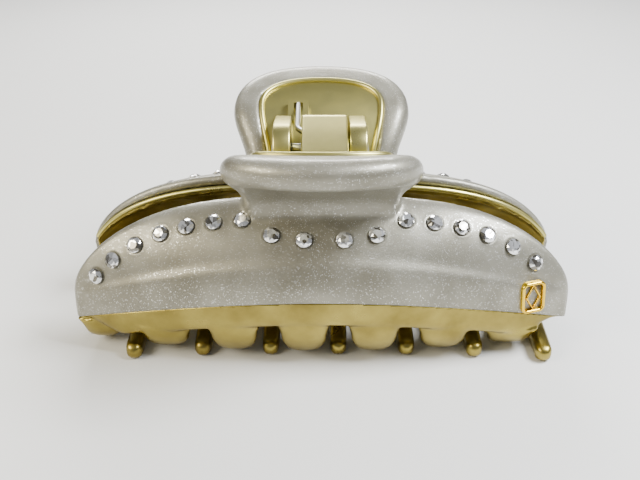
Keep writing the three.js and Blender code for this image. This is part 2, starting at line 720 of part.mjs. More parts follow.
const pearl = new THREE.MeshStandardMaterial({ color: 0xa8a698, roughness: 0.38, metalness: 0.35 });
const gold = new THREE.MeshStandardMaterial({ color: 0xaaa05f, roughness: 0.35, metalness: 0.6 });
const steel = new THREE.MeshStandardMaterial({ color: 0xb9bcc0, roughness: 0.25, metalness: 1 });
const badgeGold = new THREE.MeshStandardMaterial({ color: 0xe6be3c, roughness: 0.25, metalness: 1 });
const crystal = new THREE.MeshStandardMaterial({ color: 0xe8ecf2, roughness: 0.05, metalness: 0.1 });

const clip = new THREE.Group();

function addPiece(name, geometry, material) {
  const mesh = new THREE.Mesh(geometry, material);
  mesh.name = name;
  clip.add(mesh);
  return mesh;
}

const rightStoneXs = [...STONE_DIP_X, ...STONE_SIDE_X];
const allStoneXs = [...rightStoneXs.toReversed().map((x) => -x), ...rightStoneXs]
  .map((x) => x + STONE_SHIFT);
// The badge takes the place of the front jaw's last stone.
const frontStoneXs = allStoneXs.slice(0, -1);

addPiece('front_shell', toGeometry(jawShell(frontStoneXs, true)), pearl);
addPiece('front_liner', toGeometry(frontLiner()), gold);
addPiece('back_shell', toGeometry(asBack(jawShell(allStoneXs, false))), pearl);
addPiece('back_liner', toGeometry(backLiner()), gold);
addPiece('hinge_pin', toGeometry(hingePin()), steel);
addPiece('torsion_spring', toGeometry(torsionSpring()), steel);
addPiece('badge_frame', toGeometry(badgeSolid()).applyMatrix4(BADGE_PLACE), badgeGold);

const stone = stoneGeometry();
const halfTurn = new THREE.Matrix4().makeRotationZ(Math.PI);
for (const [jaw, xs] of [['front', frontStoneXs], ['back', allStoneXs]]) {
  xs.forEach((x, i) => {
    const name = `${jaw}_stone_${String(i + 1).padStart(2, '0')}`;
    const mesh = addPiece(name, stone, crystal);
    const place = standOnSkin(x, stoneRow(x));
    mesh.applyMatrix4(jaw === 'back' ? halfTurn.clone().multiply(place) : place);
  });
}

export default clip;
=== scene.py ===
"""Claw clip for hair: pearl shells over gold liners, crystal stones, a spring hinge and a studio.

Shapes are worked out in millimetres and turned to metres when a piece is finished.
"""

import json
import logging
import math
from dataclasses import dataclass, field
from enum import Enum
from functools import partial
from typing import Callable

import bmesh
import bpy
import numpy as np
from mathutils import Matrix, Vector


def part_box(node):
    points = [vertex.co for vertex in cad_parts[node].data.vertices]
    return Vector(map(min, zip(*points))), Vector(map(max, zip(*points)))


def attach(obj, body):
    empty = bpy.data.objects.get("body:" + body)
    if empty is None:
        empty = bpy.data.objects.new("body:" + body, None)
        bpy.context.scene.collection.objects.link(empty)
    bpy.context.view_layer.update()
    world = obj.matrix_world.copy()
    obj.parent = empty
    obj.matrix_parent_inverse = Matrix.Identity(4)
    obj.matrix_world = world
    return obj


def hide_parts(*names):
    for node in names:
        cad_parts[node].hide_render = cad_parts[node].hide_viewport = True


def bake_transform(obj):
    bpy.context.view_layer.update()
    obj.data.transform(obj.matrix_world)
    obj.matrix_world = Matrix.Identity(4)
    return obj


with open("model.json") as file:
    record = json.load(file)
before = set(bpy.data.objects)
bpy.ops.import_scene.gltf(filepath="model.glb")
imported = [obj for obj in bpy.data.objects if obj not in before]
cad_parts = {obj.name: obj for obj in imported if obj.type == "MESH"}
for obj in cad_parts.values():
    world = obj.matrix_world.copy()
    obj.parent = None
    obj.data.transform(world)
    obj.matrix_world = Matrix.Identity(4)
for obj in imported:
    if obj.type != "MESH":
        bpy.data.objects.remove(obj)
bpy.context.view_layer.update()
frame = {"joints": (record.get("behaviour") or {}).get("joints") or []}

log = logging.getLogger("claw_clip")

MM = 0.001
HINGE_HEIGHT = frame["joints"][0]["pos_m"][2] / MM

Nums = float | np.ndarray
Ring = np.ndarray
Obj = bpy.types.Object
Tree = bpy.types.NodeTree
Node = bpy.types.Node
Socket = bpy.types.NodeSocket


class Jaw(Enum):
    """The two jaws, each with the CAD body that its pieces ride on."""

    FRONT = "front_jaw"
    BACK = "back_jaw"

    def turn(self, points: np.ndarray) -> np.ndarray:
        """Turns points of the front jaw half way round the clip when this is the back jaw.

        Args:
            points: Points of the front jaw.

        Returns:
            The points where this jaw has them.
        """
        if self is Jaw.FRONT:
            return points
        return points * np.array([-1.0, -1.0, 1.0])

    @property
    def word(self) -> str:
        """The jaw's name at the start of its pieces' names."""
        return self.name.lower()


# ---- numbers and meshes ----


def mix(start: Nums, end: Nums, share: Nums) -> Nums:
    """Value or array a share of the way from start to end."""
    return start + (end - start) * share


def smooth(share: Nums) -> Nums:
    """Soft step from 0 to 1, flat at both ends."""
    held = np.clip(share, 0.0, 1.0)
    return held * held * (3.0 - 2.0 * held)


def circle(count: int) -> np.ndarray:
    """Cosine and sine of directions spread evenly round a turn."""
    angle = np.linspace(0, math.tau, count, endpoint=False)
    return np.stack([np.cos(angle), np.sin(angle)], -1)


def bezier(corners: np.ndarray, t: np.ndarray) -> np.ndarray:
    """Points of a cubic curve with four corners."""
    a, b, c, d = corners
    return (1 - t) ** 3 * a + 3 * (1 - t) ** 2 * t * b + 3 * (1 - t) * t * t * c + t**3 * d


def linked(name: str, data: bpy.types.ID) -> Obj:
    """New object of some data, linked to the scene.

    Args:
        name: Name of the new object.
        data: What the object holds.

    Returns:
        The object.
    """
    made = bpy.data.objects.new(name, data)
    bpy.context.scene.collection.objects.link(made)
    return made


def baked(piece: Obj) -> bpy.types.Mesh:
    """Plain mesh of an object with its modifiers applied.

    Args:
        piece: Object to work on.

    Returns:
        The mesh.
    """
    bpy.context.view_layer.update()
    graph = bpy.context.evaluated_depsgraph_get()
    return bpy.data.meshes.new_from_object(piece.evaluated_get(graph), depsgraph=graph)


@dataclass
class Stock:
    """Vertices and faces of closed bodies, gathered before they become one mesh."""

    points: list[np.ndarray] = field(default_factory=list)
    faces: list[tuple[int, ...]] = field(default_factory=list)
    count: int = 0

    def add_loft(self, rings: Ring, closed: bool = False) -> "Stock":
        """Adds a closed body through rings of equal size.

        Args:
            rings: Array of shape (rings, points, 3), in millimetres.
            closed: Whether the last ring meets the first, which leaves no ends to cap.

        Returns:
            The stock itself.
        """
        rows, size, _ = rings.shape
        first = self.count
        for row in range(rows if closed else rows - 1):
            here, after = first + row * size, first + (row + 1) % rows * size
            for i in range(size):
                j = (i + 1) % size
                self.faces.append((here + i, here + j, after + j, after + i))
        if not closed:
            last = first + (rows - 1) * size
            self.faces.append(tuple(range(first + size - 1, first - 1, -1)))
            self.faces.append(tuple(range(last, last + size)))
        self.points.append(rings.reshape(-1, 3))
        self.count += rows * size
        return self

    def to_object(self, name: str, jaw: Jaw = Jaw.FRONT) -> Obj:
        """Makes one object, in millimetres, with every face turned outwards.

        Args:
            name: Name of the object.
            jaw: Jaw that the points are turned to.

        Returns:
            The new object.
        """
        mesh = bpy.data.meshes.new(name)
        mesh.from_pydata(jaw.turn(np.concatenate(self.points)).tolist(), [], self.faces)
        work = bmesh.new()
        work.from_mesh(mesh)
        bmesh.ops.remove_doubles(work, verts=work.verts, dist=1e-5)
        bmesh.ops.recalc_face_normals(work, faces=work.faces)
        work.to_mesh(mesh)
        work.free()
        return linked(name, mesh)


def add_modifier(piece: Obj, kind: str, **settings: object) -> bpy.types.Modifier:
    """Adds a modifier and sets its values by name.

    Args:
        piece: Object to work on.
        kind: The modifier's type.
        settings: Values by property name.

    Returns:
        The modifier.
    """
    modifier = piece.modifiers.new(kind.lower(), kind)
    for key, value in settings.items():
        setattr(modifier, key, value)
    return modifier


def settle(piece: Obj, smooth_angle: float | None = None) -> Obj:
    """Turns an object in millimetres, with its modifiers, into a plain mesh in metres.

    Args:
        piece: Object to finish. It is removed.
        smooth_angle: Edges sharper than this many degrees stay sharp; all are smooth when None.

    Returns:
        The finished object, at the origin, unturned and unscaled.
    """
    mesh = baked(piece)
    mesh.transform(Matrix.Scale(MM, 4))
    name = piece.name
    old = piece.data
    bpy.data.objects.remove(piece)
    if old.users == 0 and isinstance(old, bpy.types.Mesh):
        bpy.data.meshes.remove(old)
    mesh.name = name
    done = linked(name, mesh)
    mesh.shade_smooth()
    if smooth_angle is not None:
        mesh.set_sharp_from_angle(angle=math.radians(smooth_angle))
    return done


def fuse(piece: Obj, voxel: float, passes: int) -> None:
    """Joins an object's overlapping bodies into one skin and eases its edges.

    Args:
        piece: Object in millimetres.
        voxel: Cell of the new skin, in millimetres.
        passes: Rounds of easing.
    """
    add_modifier(piece, "REMESH", mode="VOXEL", voxel_size=voxel, use_smooth_shade=True)
    add_modifier(piece, "SMOOTH", factor=0.5, iterations=passes)


def dress(piece: Obj, jaw: Jaw, finish: "Finish", *nodes: str) -> None:
    """Gives a finished piece its finish and its body, and hides the CAD nodes that it stands for.

    Args:
        piece: Object to work on.
        jaw: Jaw that it belongs to.
        finish: Finish to give it.
        nodes: CAD nodes that it stands for.
    """
    piece.data.materials.clear()
    piece.data.materials.append(finish.material())
    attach(piece, jaw.value)
    if nodes:
        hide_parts(*nodes)
    log.info("%s: %d faces, rides on %s", piece.name, len(piece.data.polygons), jaw.value)


# ---- the shape of a jaw ----


@dataclass(frozen=True)
class JawShape:
    """Outer skin of a jaw. `out` is the distance from the mid-plane, `up` the height."""

    half_length: float
    end_height: float = 12.0
    arch_rise: float = 17.2
    top_out: float = 4.5
    top_out_end: float = 9.0
    seam_out: float = 17.3
    seam_out_end: float = 9.9
    seam_height: float = 15.1
    seam_height_end: float = 7.2
    band_depth: float = 5.3
    band_depth_end: float = 0.6
    band_fade_from: float = 35.0
    band_fade_to: float = 43.0
    band_tuck: float = 1.1
    bulge: float = 2 / 1.8
    lean_power: float = 6
    arch_power: float = 3.2
    arch_round: float = 0.625
    seam_power: float = 2.2

    def along(self, x: Nums) -> Nums:
        """Share of the way from the middle of the jaw to its ends."""
        return np.minimum(np.abs(x) / self.half_length, 1.0)

    def lean(self, x: Nums) -> Nums:
        """How upright the wall stands at its top edge, 0 in the middle and 1 at the ends."""
        return self.along(x) ** self.lean_power

    def top_edge(self, x: Nums) -> tuple[Nums, Nums]:
        """Out and up of the top edge.

        Args:
            x: Place along the clip.

        Returns:
            Out and up.
        """
        share = self.along(x)
        arch = (1 - share**self.arch_power) ** self.arch_round
        up = self.end_height + self.arch_rise * arch
        return mix(self.top_out, self.top_out_end, share**3), up

    def seam(self, x: Nums) -> tuple[Nums, Nums]:
        """Out and up of the seam between shell and liner.

        Args:
            x: Place along the clip.

        Returns:
            Out and up.
        """
        share = self.along(x)
        up = mix(self.seam_height, self.seam_height_end, share**2)
        return mix(self.seam_out, self.seam_out_end, share**self.seam_power), up

    def band_edge(self, x: Nums) -> tuple[Nums, Nums]:
        """Out and up of the gold band's lower edge.

        Args:
            x: Place along the clip.

        Returns:
            Out and up.
        """
        out, up = self.seam(x)
        fade = (np.abs(x) - self.band_fade_from) / (self.band_fade_to - self.band_fade_from)
        depth = mix(self.band_depth, self.band_depth_end, smooth(fade))
        return out - self.band_tuck, up - depth

    def skin(self, x: Nums, row: Nums, depth: Nums = 0.0) -> np.ndarray:
        """Point of the skin, drawn in by a depth.

        Args:
            x: Place along the clip.
            row: 0 at the top edge and 1 at the seam.
            depth: How far into the wall.

        Returns:
            Array whose last axis is out and up.
        """
        top_out, top_up = self.top_edge(x)
        low_out, low_up = self.seam(x)
        angle = np.clip(row, 0.0, 1.0) * math.pi / 2
        lean = self.lean(x)
        out = mix(top_out - depth * lean, low_out - depth, np.sin(angle) ** self.bulge)
        up = mix(low_up, top_up - depth * (1 - 0.6 * lean), np.cos(angle) ** self.bulge)
        return np.stack(np.broadcast_arrays(out, up), axis=-1)

    def on_front(self, x: Nums, out_up: np.ndarray) -> np.ndarray:
        """Points of the front jaw from x and out, up."""
        out, up = out_up[..., 0], out_up[..., 1]
        return np.stack(np.broadcast_arrays(np.asarray(x, float), -out, up), axis=-1)

    def stand(self, x: float, row: float) -> Matrix:
        """Place on the skin with its Z outwards and its X along the clip.

        Args:
            x: Place along the clip.
            row: 0 at the top edge and 1 at the seam.

        Returns:
            Matrix of the place.
        """
        step = 0.02

        def at(dx: float, dr: float) -> Vector:
            """Point of the skin beside the asked one."""
            return Vector(self.on_front(x + dx, self.skin(x + dx, row + dr)))

        along_x = (at(step, 0) - at(-step, 0)).normalized()
        up_skin = (at(0, -step) - at(0, step)).normalized()
        outward = along_x.cross(up_skin).normalized()
        up = outward.cross(along_x)
        turn = Matrix((along_x, up, outward)).transposed().to_4x4()
        return Matrix.Translation(at(0, 0)) @ turn

    def stand_upright(self, x: float, row: float) -> Matrix:
        """The same place, but turned until its X lies level.

        Args:
            x: Place along the clip.
            row: 0 at the top edge and 1 at the seam.

        Returns:
            Matrix of the place.
        """
        place = self.stand(x, row)
        outward = place.col[2].xyz
        level = Vector((0, 0, 1)).cross(outward).normalized()
        turn = Matrix((level, outward.cross(level), outward)).transposed().to_4x4()
        return Matrix.Translation(place.translation) @ turn

    def stations(self, count: int, trim: float) -> np.ndarray:
        """Places along the clip, closer together where its ends turn down."""
        share = np.linspace(-0.5, 0.5, count)
        return (self.half_length - trim) * np.sin(math.pi * share)


def seam_cutter(
        shape: JawShape, jaw: Jaw, outs: tuple[float, float], ups: tuple[float, float],
        from_seam: bool = False) -> Obj:
    """Body along a jaw's seam that trims a piece to an exact line.

    Args:
        shape: Shape of the jaw.
        jaw: Jaw that it is turned to.
        outs: From and to, away from the mid-plane, or away from the seam.
        ups: From and to above the seam.
        from_seam: Whether `outs` starts at the seam.

    Returns:
        The body, in millimetres.
    """
    rings = []
    for x in np.linspace(-1.05, 1.05, 121) * shape.half_length:
        seam_out, seam_up = shape.seam(x)
        start = seam_out if from_seam else 0.0
        corners = [(start + outs[i], seam_up + ups[j]) for i, j in ((0, 0), (1, 0), (1, 1), (0, 1))]
        rings.append(shape.on_front(x, np.array(corners)))
    return Stock().add_loft(np.array(rings)).to_object("seam_cutter", jaw)


def trimmed(piece: Obj, cutter: Obj) -> Obj:
    """Cuts a body away from a piece and leaves the result as the piece's only mesh.

    Args:
        piece: Object to work on.
        cutter: Body to cut away. It is removed.

    Returns:
        The object.
    """
    add_modifier(piece, "BOOLEAN", operation="DIFFERENCE", solver="EXACT", object=cutter)
    mesh = baked(piece)
    piece.modifiers.clear()
    piece.data = mesh
    bpy.data.objects.remove(cutter)
    return piece


@dataclass(frozen=True)
class TabShape:
    """Mid-line, outline and inset of a thumb tab. `lift` is towards the other tab."""

    curve: tuple = ((5.0, 23.5), (5.0, 33.0), (12.4, 39.5), (21.2, 41.3))
    thickness: float = 5.5
    neck_half_width: float = 13.6
    half_width: float = 16.3
    swell_start: float = 6.0
    round_start: float = 17.0
    inset_half_width_neck: float = 9.6
    inset_half_width: float = 11.4
    inset_depth: float = 0.6
    inset_border: float = 6.0
    roundness: float = 2.2
    inset_roundness: float = 2.4
    samples: int = 400

    def _line(self) -> tuple[np.ndarray, np.ndarray, np.ndarray]:
        """Lengths, points and tangents along the mid-line.

        Returns:
            Lengths, points and tangents.
        """
        t = np.linspace(0, 1, self.samples)[:, None]
        p0, p1, p2, p3 = np.array(self.curve)
        point = bezier(np.array(self.curve), t)
        tangent = 3 * ((1 - t) ** 2 * (p1 - p0) + 2 * (1 - t) * t * (p2 - p1) + t * t * (p3 - p2))
        tangent /= np.linalg.norm(tangent, axis=1, keepdims=True)
        gaps = np.linalg.norm(np.diff(point, axis=0), axis=1)
        return np.concatenate([[0.0], np.cumsum(gaps)]), point, tangent

    @property
    def curve_length(self) -> float:
        """Length of the mid-line."""
        return float(self._line()[0][-1])

    @property
    def length(self) -> float:
        """Length of the tab along its mid-line, to its rounded tip."""
        return self.curve_length + self.thickness / 2

    @property
    def inset_end(self) -> float:
        """Length of the gold inset along the mid-line."""
        return self.length - self.inset_border

    @property
    def panel_top(self) -> float:
        """Lift of the gold panel's face."""
        return self.thickness / 2 - self.inset_depth

    def at(self, x: Nums, s: Nums, lift: Nums) -> np.ndarray:
        """Points of the front tab at x across, s along and a lift.

        Args:
            x: Place along the clip.
            s: Length along the tab.
            lift: Height towards the other tab.

        Returns:
            Array whose last axis is x, y and z.
        """
        lengths, points, tangents = self._line()
        x, s, lift = np.broadcast_arrays(*(np.asarray(v, float) for v in (x, s, lift)))
        held = np.clip(s, 0, lengths[-1])
        point = [np.interp(held, lengths, points[:, i]) for i in (0, 1)]
        tangent = [np.interp(held, lengths, tangents[:, i]) for i in (0, 1)]
        past = s - held
        out = point[0] + tangent[0] * past - tangent[1] * lift
        up = point[1] + tangent[1] * past + tangent[0] * lift
        return np.stack([x, -out, up], axis=-1)

    def _width(self, s: Nums, neck: float, full: float, end: float, power: float) -> Nums:
        """Half width that swells from the neck and closes in a round end.

        Args:
            s: Length along the tab.
            neck: Half width at the neck.
            full: Half width after the swell.
            end: Where it ends.
            power: How square the round end is.

        Returns:
            Half width at each length.
        """
        swollen = (s - self.swell_start) / (self.round_start - self.swell_start)
        swell = mix(neck, full, smooth(swollen))
        share = np.clip((s - self.round_start) / (end - self.round_start), 0, 1)
        return np.where(s <= self.round_start, swell, full * (1 - share**power) ** (1 / power))

    def tab_width(self, s: Nums) -> Nums:
        """Half width of the tab."""
        return self._width(s, self.neck_half_width, self.half_width, self.length, self.roundness)

    def inset_width(self, s: Nums) -> Nums:
        """Half width of the gold inset.

        Args:
            s: Length along the tab.

        Returns:
            Half width at each length.
        """
        return self._width(
            s, self.inset_half_width_neck, self.inset_half_width, self.inset_end,
            self.inset_roundness)

    def outline(self, width: Callable, end: float, count: int = 300) -> np.ndarray:
        """Half outline, from the neck to the tip, as x and s."""
        s = end * (1 - (1 - np.linspace(0, 1, count)) ** 2)
        return np.stack([width(s), s], axis=-1)

    def edge_distance(self, x: np.ndarray, s: np.ndarray, line: np.ndarray) -> np.ndarray:
        """Distance from points of the tab to a half outline.

        Args:
            x: Place along the clip.
            s: Length along the tab.
            line: Half outline, as x and s.

        Returns:
            Distance of each point.
        """
        here = np.stack([np.abs(x), s], axis=-1)[..., None, :]
        a, b = line[:-1], line[1:]
        side = b - a
        span = np.maximum((side**2).sum(-1), 1e-12)
        share = np.clip(((here - a) * side).sum(-1) / span, 0, 1)
        nearest = a + side * share[..., None]
        return np.sqrt(((here - nearest) ** 2).sum(-1)).min(-1)


# ---- finishes ----


def linear(hex_colour: str) -> tuple[float, float, float, float]:
    """Linear colour of an sRGB hex value such as 'A8A698'.

    Args:
        hex_colour: Six hex digits.

    Returns:
        Red, green, blue and alpha.
    """
    channels = [int(hex_colour[i:i + 2], 16) / 255 for i in (0, 2, 4)]
    straight = [c / 12.92 if c <= 0.04045 else ((c + 0.055) / 1.055) ** 2.4 for c in channels]
    return (*straight, 1.0)


def add_node(tree: Tree, kind: str, settings: dict, links: dict) -> Node:
    """Adds a node with its settings and links.

    Args:
        tree: Tree to add to.
        kind: Node type.
        settings: Values by property name, or by input name or number when it is an input's.
        links: Sockets, or nodes for their first one, by the input that they feed.

    Returns:
        The new node.
    """
    node = tree.nodes.new(kind)
    for key, value in settings.items():
        if isinstance(key, str) and hasattr(node, key):
            setattr(node, key, value)
    for key, value in settings.items():
        if not (isinstance(key, str) and hasattr(node, key)):
            node.inputs[key].default_value = value
    for key, source in links.items():
        tree.links.new(getattr(source, "outputs", (source,))[0], node.inputs[key])
    return node


@dataclass(frozen=True)
class Finish:
    """A surface finish. Subclasses say what it is made of and how it looks."""

    name: str
    slot: str

    def material(self) -> bpy.types.Material:
        """The finish's material, made the first time that it is asked for.

        Returns:
            The material.
        """
        known = bpy.data.materials.get(self.name)
        if known:
            return known
        made = bpy.data.materials.new(self.name)
        made.use_nodes = True
        tree = made.node_tree
        tree.nodes.clear()
        shader = add_node(tree, "ShaderNodeBsdfPrincipled", *self.paint(tree))
        add_node(tree, "ShaderNodeOutputMaterial", {}, {"Surface": shader})
        return made

    def paint(self, tree: Tree) -> tuple[dict, dict]:
        """Builds the patterns and gives the shader's own values and links."""
        raise NotImplementedError


def object_scaled(tree: Tree, cell_mm: float) -> Node:
    """Object coordinates scaled so that one unit is a cell of a real size.

    Args:
        tree: Node tree to use.
        cell_mm: Real size of a cell.

    Returns:
        The node.
    """
    place = add_node(tree, "ShaderNodeTexCoord", {}, {})
    settings = {"operation": "SCALE", "Scale": 1 / (cell_mm * MM)}
    return add_node(tree, "ShaderNodeVectorMath", settings, {0: place.outputs["Object"]})


def ramp(tree: Tree, factor: Node | Socket, *stops: tuple[float, str]) -> Node:
    """Colour ramp with stops of a position and an sRGB hex value.

    Args:
        tree: Node tree to use.
        factor: What picks the colour.
        stops: Positions and colours.

    Returns:
        The node.
    """
    node = add_node(tree, "ShaderNodeValToRGB", {}, {0: factor})
    for element, (position, colour) in zip(node.color_ramp.elements, stops):
        element.position = position
        element.color = linear(colour)
    return node


@dataclass(frozen=True)
class PearlLacquer(Finish):
    """Pearl lacquer sprayed on moulded acetate: soft metallic sheen, fine glitter, clear coat."""

    base: str = "928F81"
    shade: str = "7C7869"
    flake: str = "FFFFFA"
    flake_mm: float = 0.17
    cloud_mm: float = 9.0

    def paint(self, tree: Tree) -> tuple[dict, dict]:
        """A few cells of a fine pattern are bright, smooth flakes; the rest is even lacquer.

        Args:
            tree: Node tree to use.

        Returns:
            The shader's settings and links.
        """
        add = partial(add_node, tree)
        cells = add("ShaderNodeTexVoronoi", {"Scale": 1.0, "Randomness": 1.0},
                    {"Vector": object_scaled(tree, self.flake_mm)})
        split = add("ShaderNodeSeparateColor", {}, {0: cells.outputs["Color"]})
        chosen = ramp(tree, split, (0.85, "000000"), (0.88, "FFFFFF"))
        core = ramp(tree, cells.outputs["Distance"], (0.30, "FFFFFF"), (0.42, "000000"))
        flake = add("ShaderNodeMath", {"operation": "MULTIPLY"}, {0: chosen, 1: core})
        cloud = add("ShaderNodeTexNoise", {"Scale": 1.0, "Detail": 3.0},
                    {"Vector": object_scaled(tree, self.cloud_mm)})
        body = ramp(tree, cloud, (0.35, self.shade), (0.65, self.base))
        colour = add("ShaderNodeMix", {"data_type": "RGBA", 7: linear(self.flake)},
                     {0: flake, 6: body})
        rough = add("ShaderNodeMapRange", {"To Min": 0.43, "To Max": 0.18}, {0: flake})
        tilt = add("ShaderNodeBump", {"Strength": 0.35, "Distance": 0.00005},
                   {"Height": split.outputs[1]})
        return ({"Metallic": 0.62, "Coat Weight": 0.3, "Coat Roughness": 0.12},
                {"Base Color": colour.outputs[2], "Roughness": rough, "Normal": tilt})


@dataclass(frozen=True)
class PlatedMetal(Finish):
    """Plated or drawn metal: a colour that varies slightly and a fine satin grain."""

    colour: str
    shade: str
    roughness: float
    grain_mm: float = 0.35
    grain_depth: float = 0.25
    tarnish_mm: float = 7.0

    def paint(self, tree: Tree) -> tuple[dict, dict]:
        """Slow changes of tone and roughness over a fine bead-blasted grain.

        Args:
            tree: Node tree to use.

        Returns:
            The shader's settings and links.
        """
        add = partial(add_node, tree)
        slow, fine = (
            add("ShaderNodeTexNoise", {"Scale": 1.0, "Detail": detail},
                {"Vector": object_scaled(tree, size)})
            for size, detail in ((self.tarnish_mm, 4.0), (self.grain_mm, 2.0)))
        tone = ramp(tree, slow, (0.30, self.shade), (0.70, self.colour))
        rough = add("ShaderNodeMapRange", {
            "From Min": 0.3, "From Max": 0.7,
            "To Min": self.roughness * 1.2, "To Max": self.roughness * 0.8}, {0: slow})
        bump = add("ShaderNodeBump", {"Strength": self.grain_depth, "Distance": 0.00002},
                   {"Height": fine})
        return {"Metallic": 1.0}, {"Base Color": tone, "Roughness": rough, "Normal": bump}


@dataclass(frozen=True)
class FoiledCrystal(Finish):
    """Machine-cut lead crystal with silver foil behind it; the bright and dark flashes of its
    facets are painted into its colour.
    """

    # Colours of the painted flashes: white for a facet that catches the light, grey for one that
    # misses it.
    bright: str = "FFFFFF"
    dark: str = "6A655A"
    facet_mm: float = 0.8

    def paint(self, tree: Tree) -> tuple[dict, dict]:
        """Mirror-bright facets under a clear coat, with painted flashes: random grey and white
        patches stand in for facets that catch the light or miss it.

        Args:
            tree: Node tree to use.

        Returns:
            The shader's settings and links.
        """
        cells = add_node(tree, "ShaderNodeTexVoronoi", {"Scale": 1.0},
                         {"Vector": object_scaled(tree, self.facet_mm)})
        split = add_node(tree, "ShaderNodeSeparateColor", {}, {0: cells.outputs["Color"]})
        tone = ramp(tree, split, (0.25, self.dark), (0.60, self.bright))
        return ({"Metallic": 0.85, "Roughness": 0.06, "Coat Weight": 1.0,
                 "Coat Roughness": 0.02, "Coat IOR": 1.6}, {"Base Color": tone})


PEARL = PearlLacquer("pearl_lacquer", "pearl")
SATIN_GOLD = PlatedMetal(
    "satin_gold_plating", "gold", colour="CDC47C", shade="B2A860", roughness=0.34)
# Same gold plating as the satin gold, painted darker and browner: painted shade for the band and
# teeth, which face away from the lights.
SHADED_LINER_GOLD = PlatedMetal(
    "liner_gold_plating", "gold", colour="A8984F", shade="7E6F37", roughness=0.32)
RICH_GOLD = PlatedMetal(
    "polished_rich_gold", "badge", colour="F6D544", shade="E6BB30", roughness=0.18, grain_depth=0.1)
SPRING_STEEL = PlatedMetal(
    "drawn_spring_steel", "steel", colour="C6C6C2", shade="A8A8A4", roughness=0.3, grain_depth=0.15)
CRYSTAL = FoiledCrystal("foiled_crystal", "crystal")


# ---- what repeats or follows a path ----


def new_geometry_tree(name: str, inputs: dict[str, tuple[str, object]]) -> tuple[Tree, Node]:
    """Geometry tree with a Geometry input and named inputs.

    Args:
        name: Name of the tree.
        inputs: Socket type and first value by input name.

    Returns:
        The tree and its input node.
    """
    tree = bpy.data.node_groups.new(name, "GeometryNodeTree")
    for side in ("INPUT", "OUTPUT"):
        tree.interface.new_socket("Geometry", in_out=side, socket_type="NodeSocketGeometry")
    for key, (kind, value) in inputs.items():
        socket = tree.interface.new_socket(key, in_out="INPUT", socket_type=kind)
        if value is not None:
            socket.default_value = value
    return tree, tree.nodes.new("NodeGroupInput")


def finish_tree(tree: Tree, start: Node, shape: Node) -> Tree:
    """Ends a tree in Realize Instances and Set Material.

    Args:
        tree: Node tree to use.
        start: Input node of the tree.
        shape: Node that gives the geometry.

    Returns:
        The tree.
    """
    real = add_node(tree, "GeometryNodeRealizeInstances", {}, {0: shape})
    dressed = add_node(tree, "GeometryNodeSetMaterial", {},
                       {"Geometry": real, "Material": start.outputs["Material"]})
    add_node(tree, "NodeGroupOutput", {}, {0: dressed})
    return tree


def wire_tree() -> Tree:
    """Round wire or bead along a chain of edges.

    Returns:
        The tree.
    """
    tree, start = new_geometry_tree("bead_along_path", {
        "Radius": ("NodeSocketFloat", 0.5),
        "Spacing": ("NodeSocketFloat", 0.4),
        "Sides": ("NodeSocketInt", 12),
        "Material": ("NodeSocketMaterial", None)})
    given, add = start.outputs, partial(add_node, tree)
    path = add("GeometryNodeMeshToCurve", {}, {0: given["Geometry"]})
    even = add("GeometryNodeResampleCurve", {"mode": "LENGTH"},
               {"Curve": path, "Length": given["Spacing"]})
    section = add("GeometryNodeCurvePrimitiveCircle", {"mode": "RADIUS"},
                  {"Resolution": given["Sides"], "Radius": given["Radius"]})
    tube = add("GeometryNodeCurveToMesh", {"Fill Caps": True},
               {"Curve": even, "Profile Curve": section})
    return finish_tree(tree, start, tube)


def stone_tree() -> Tree:
    """One cut stone on each point, facing the way that the point's own attribute says.

    Returns:
        The tree.
    """
    tree, start = new_geometry_tree("stones_on_points", {
        "Stone": ("NodeSocketObject", None),
        "Seed": ("NodeSocketInt", 7),
        "Material": ("NodeSocketMaterial", None)})
    given, add = start.outputs, partial(add_node, tree)
    stone = add("GeometryNodeObjectInfo", {}, {"Object": given["Stone"]})
    facing = add("GeometryNodeInputNamedAttribute",
                 {"data_type": "FLOAT_VECTOR", "Name": "facing"}, {})
    stand = add("FunctionNodeAlignRotationToVector", {"axis": "Z"},
                {"Vector": facing.outputs["Attribute"]})
    spin = add("FunctionNodeRandomValue", {"data_type": "FLOAT", 3: math.tau},
               {"Seed": given["Seed"]})
    about = add("FunctionNodeAxisAngleToRotation", {"Axis": (0, 0, 1)},
                {"Angle": spin.outputs[1]})
    turned = add("FunctionNodeRotateRotation", {"rotation_space": "LOCAL"},
                 {"Rotation": stand, "Rotate By": about})
    placed = add("GeometryNodeInstanceOnPoints", {}, {
        "Points": given["Geometry"], "Instance": stone.outputs["Geometry"],
        "Rotation": turned})
    return finish_tree(tree, start, placed)


def grow(piece: Obj, tree: Tree, values: dict[str, object]) -> None:
    """Adds a geometry tree to an object and sets its named inputs.

    Args:
        piece: Object to work on.
        tree: Node tree to use.
        values: Values by input name.
    """
    modifier = piece.modifiers.new(tree.name, "NODES")
    modifier.node_group = tree
    for item in tree.interface.items_tree:
        if item.item_type == "SOCKET" and item.in_out == "INPUT" and item.name in values:
            modifier[item.identifier] = values[item.name]


def path_object(name: str, chain: np.ndarray) -> Obj:
    """Object of a chain of edges through points, in millimetres.

    Args:
        name: Name of the new object.
        chain: Points in order.

    Returns:
        The object.
    """
    mesh = bpy.data.meshes.new(name)
    mesh.from_pydata(chain.tolist(), [(i, i + 1) for i in range(len(chain) - 1)], [])
    return linked(name, mesh)


# ---- jaws ----


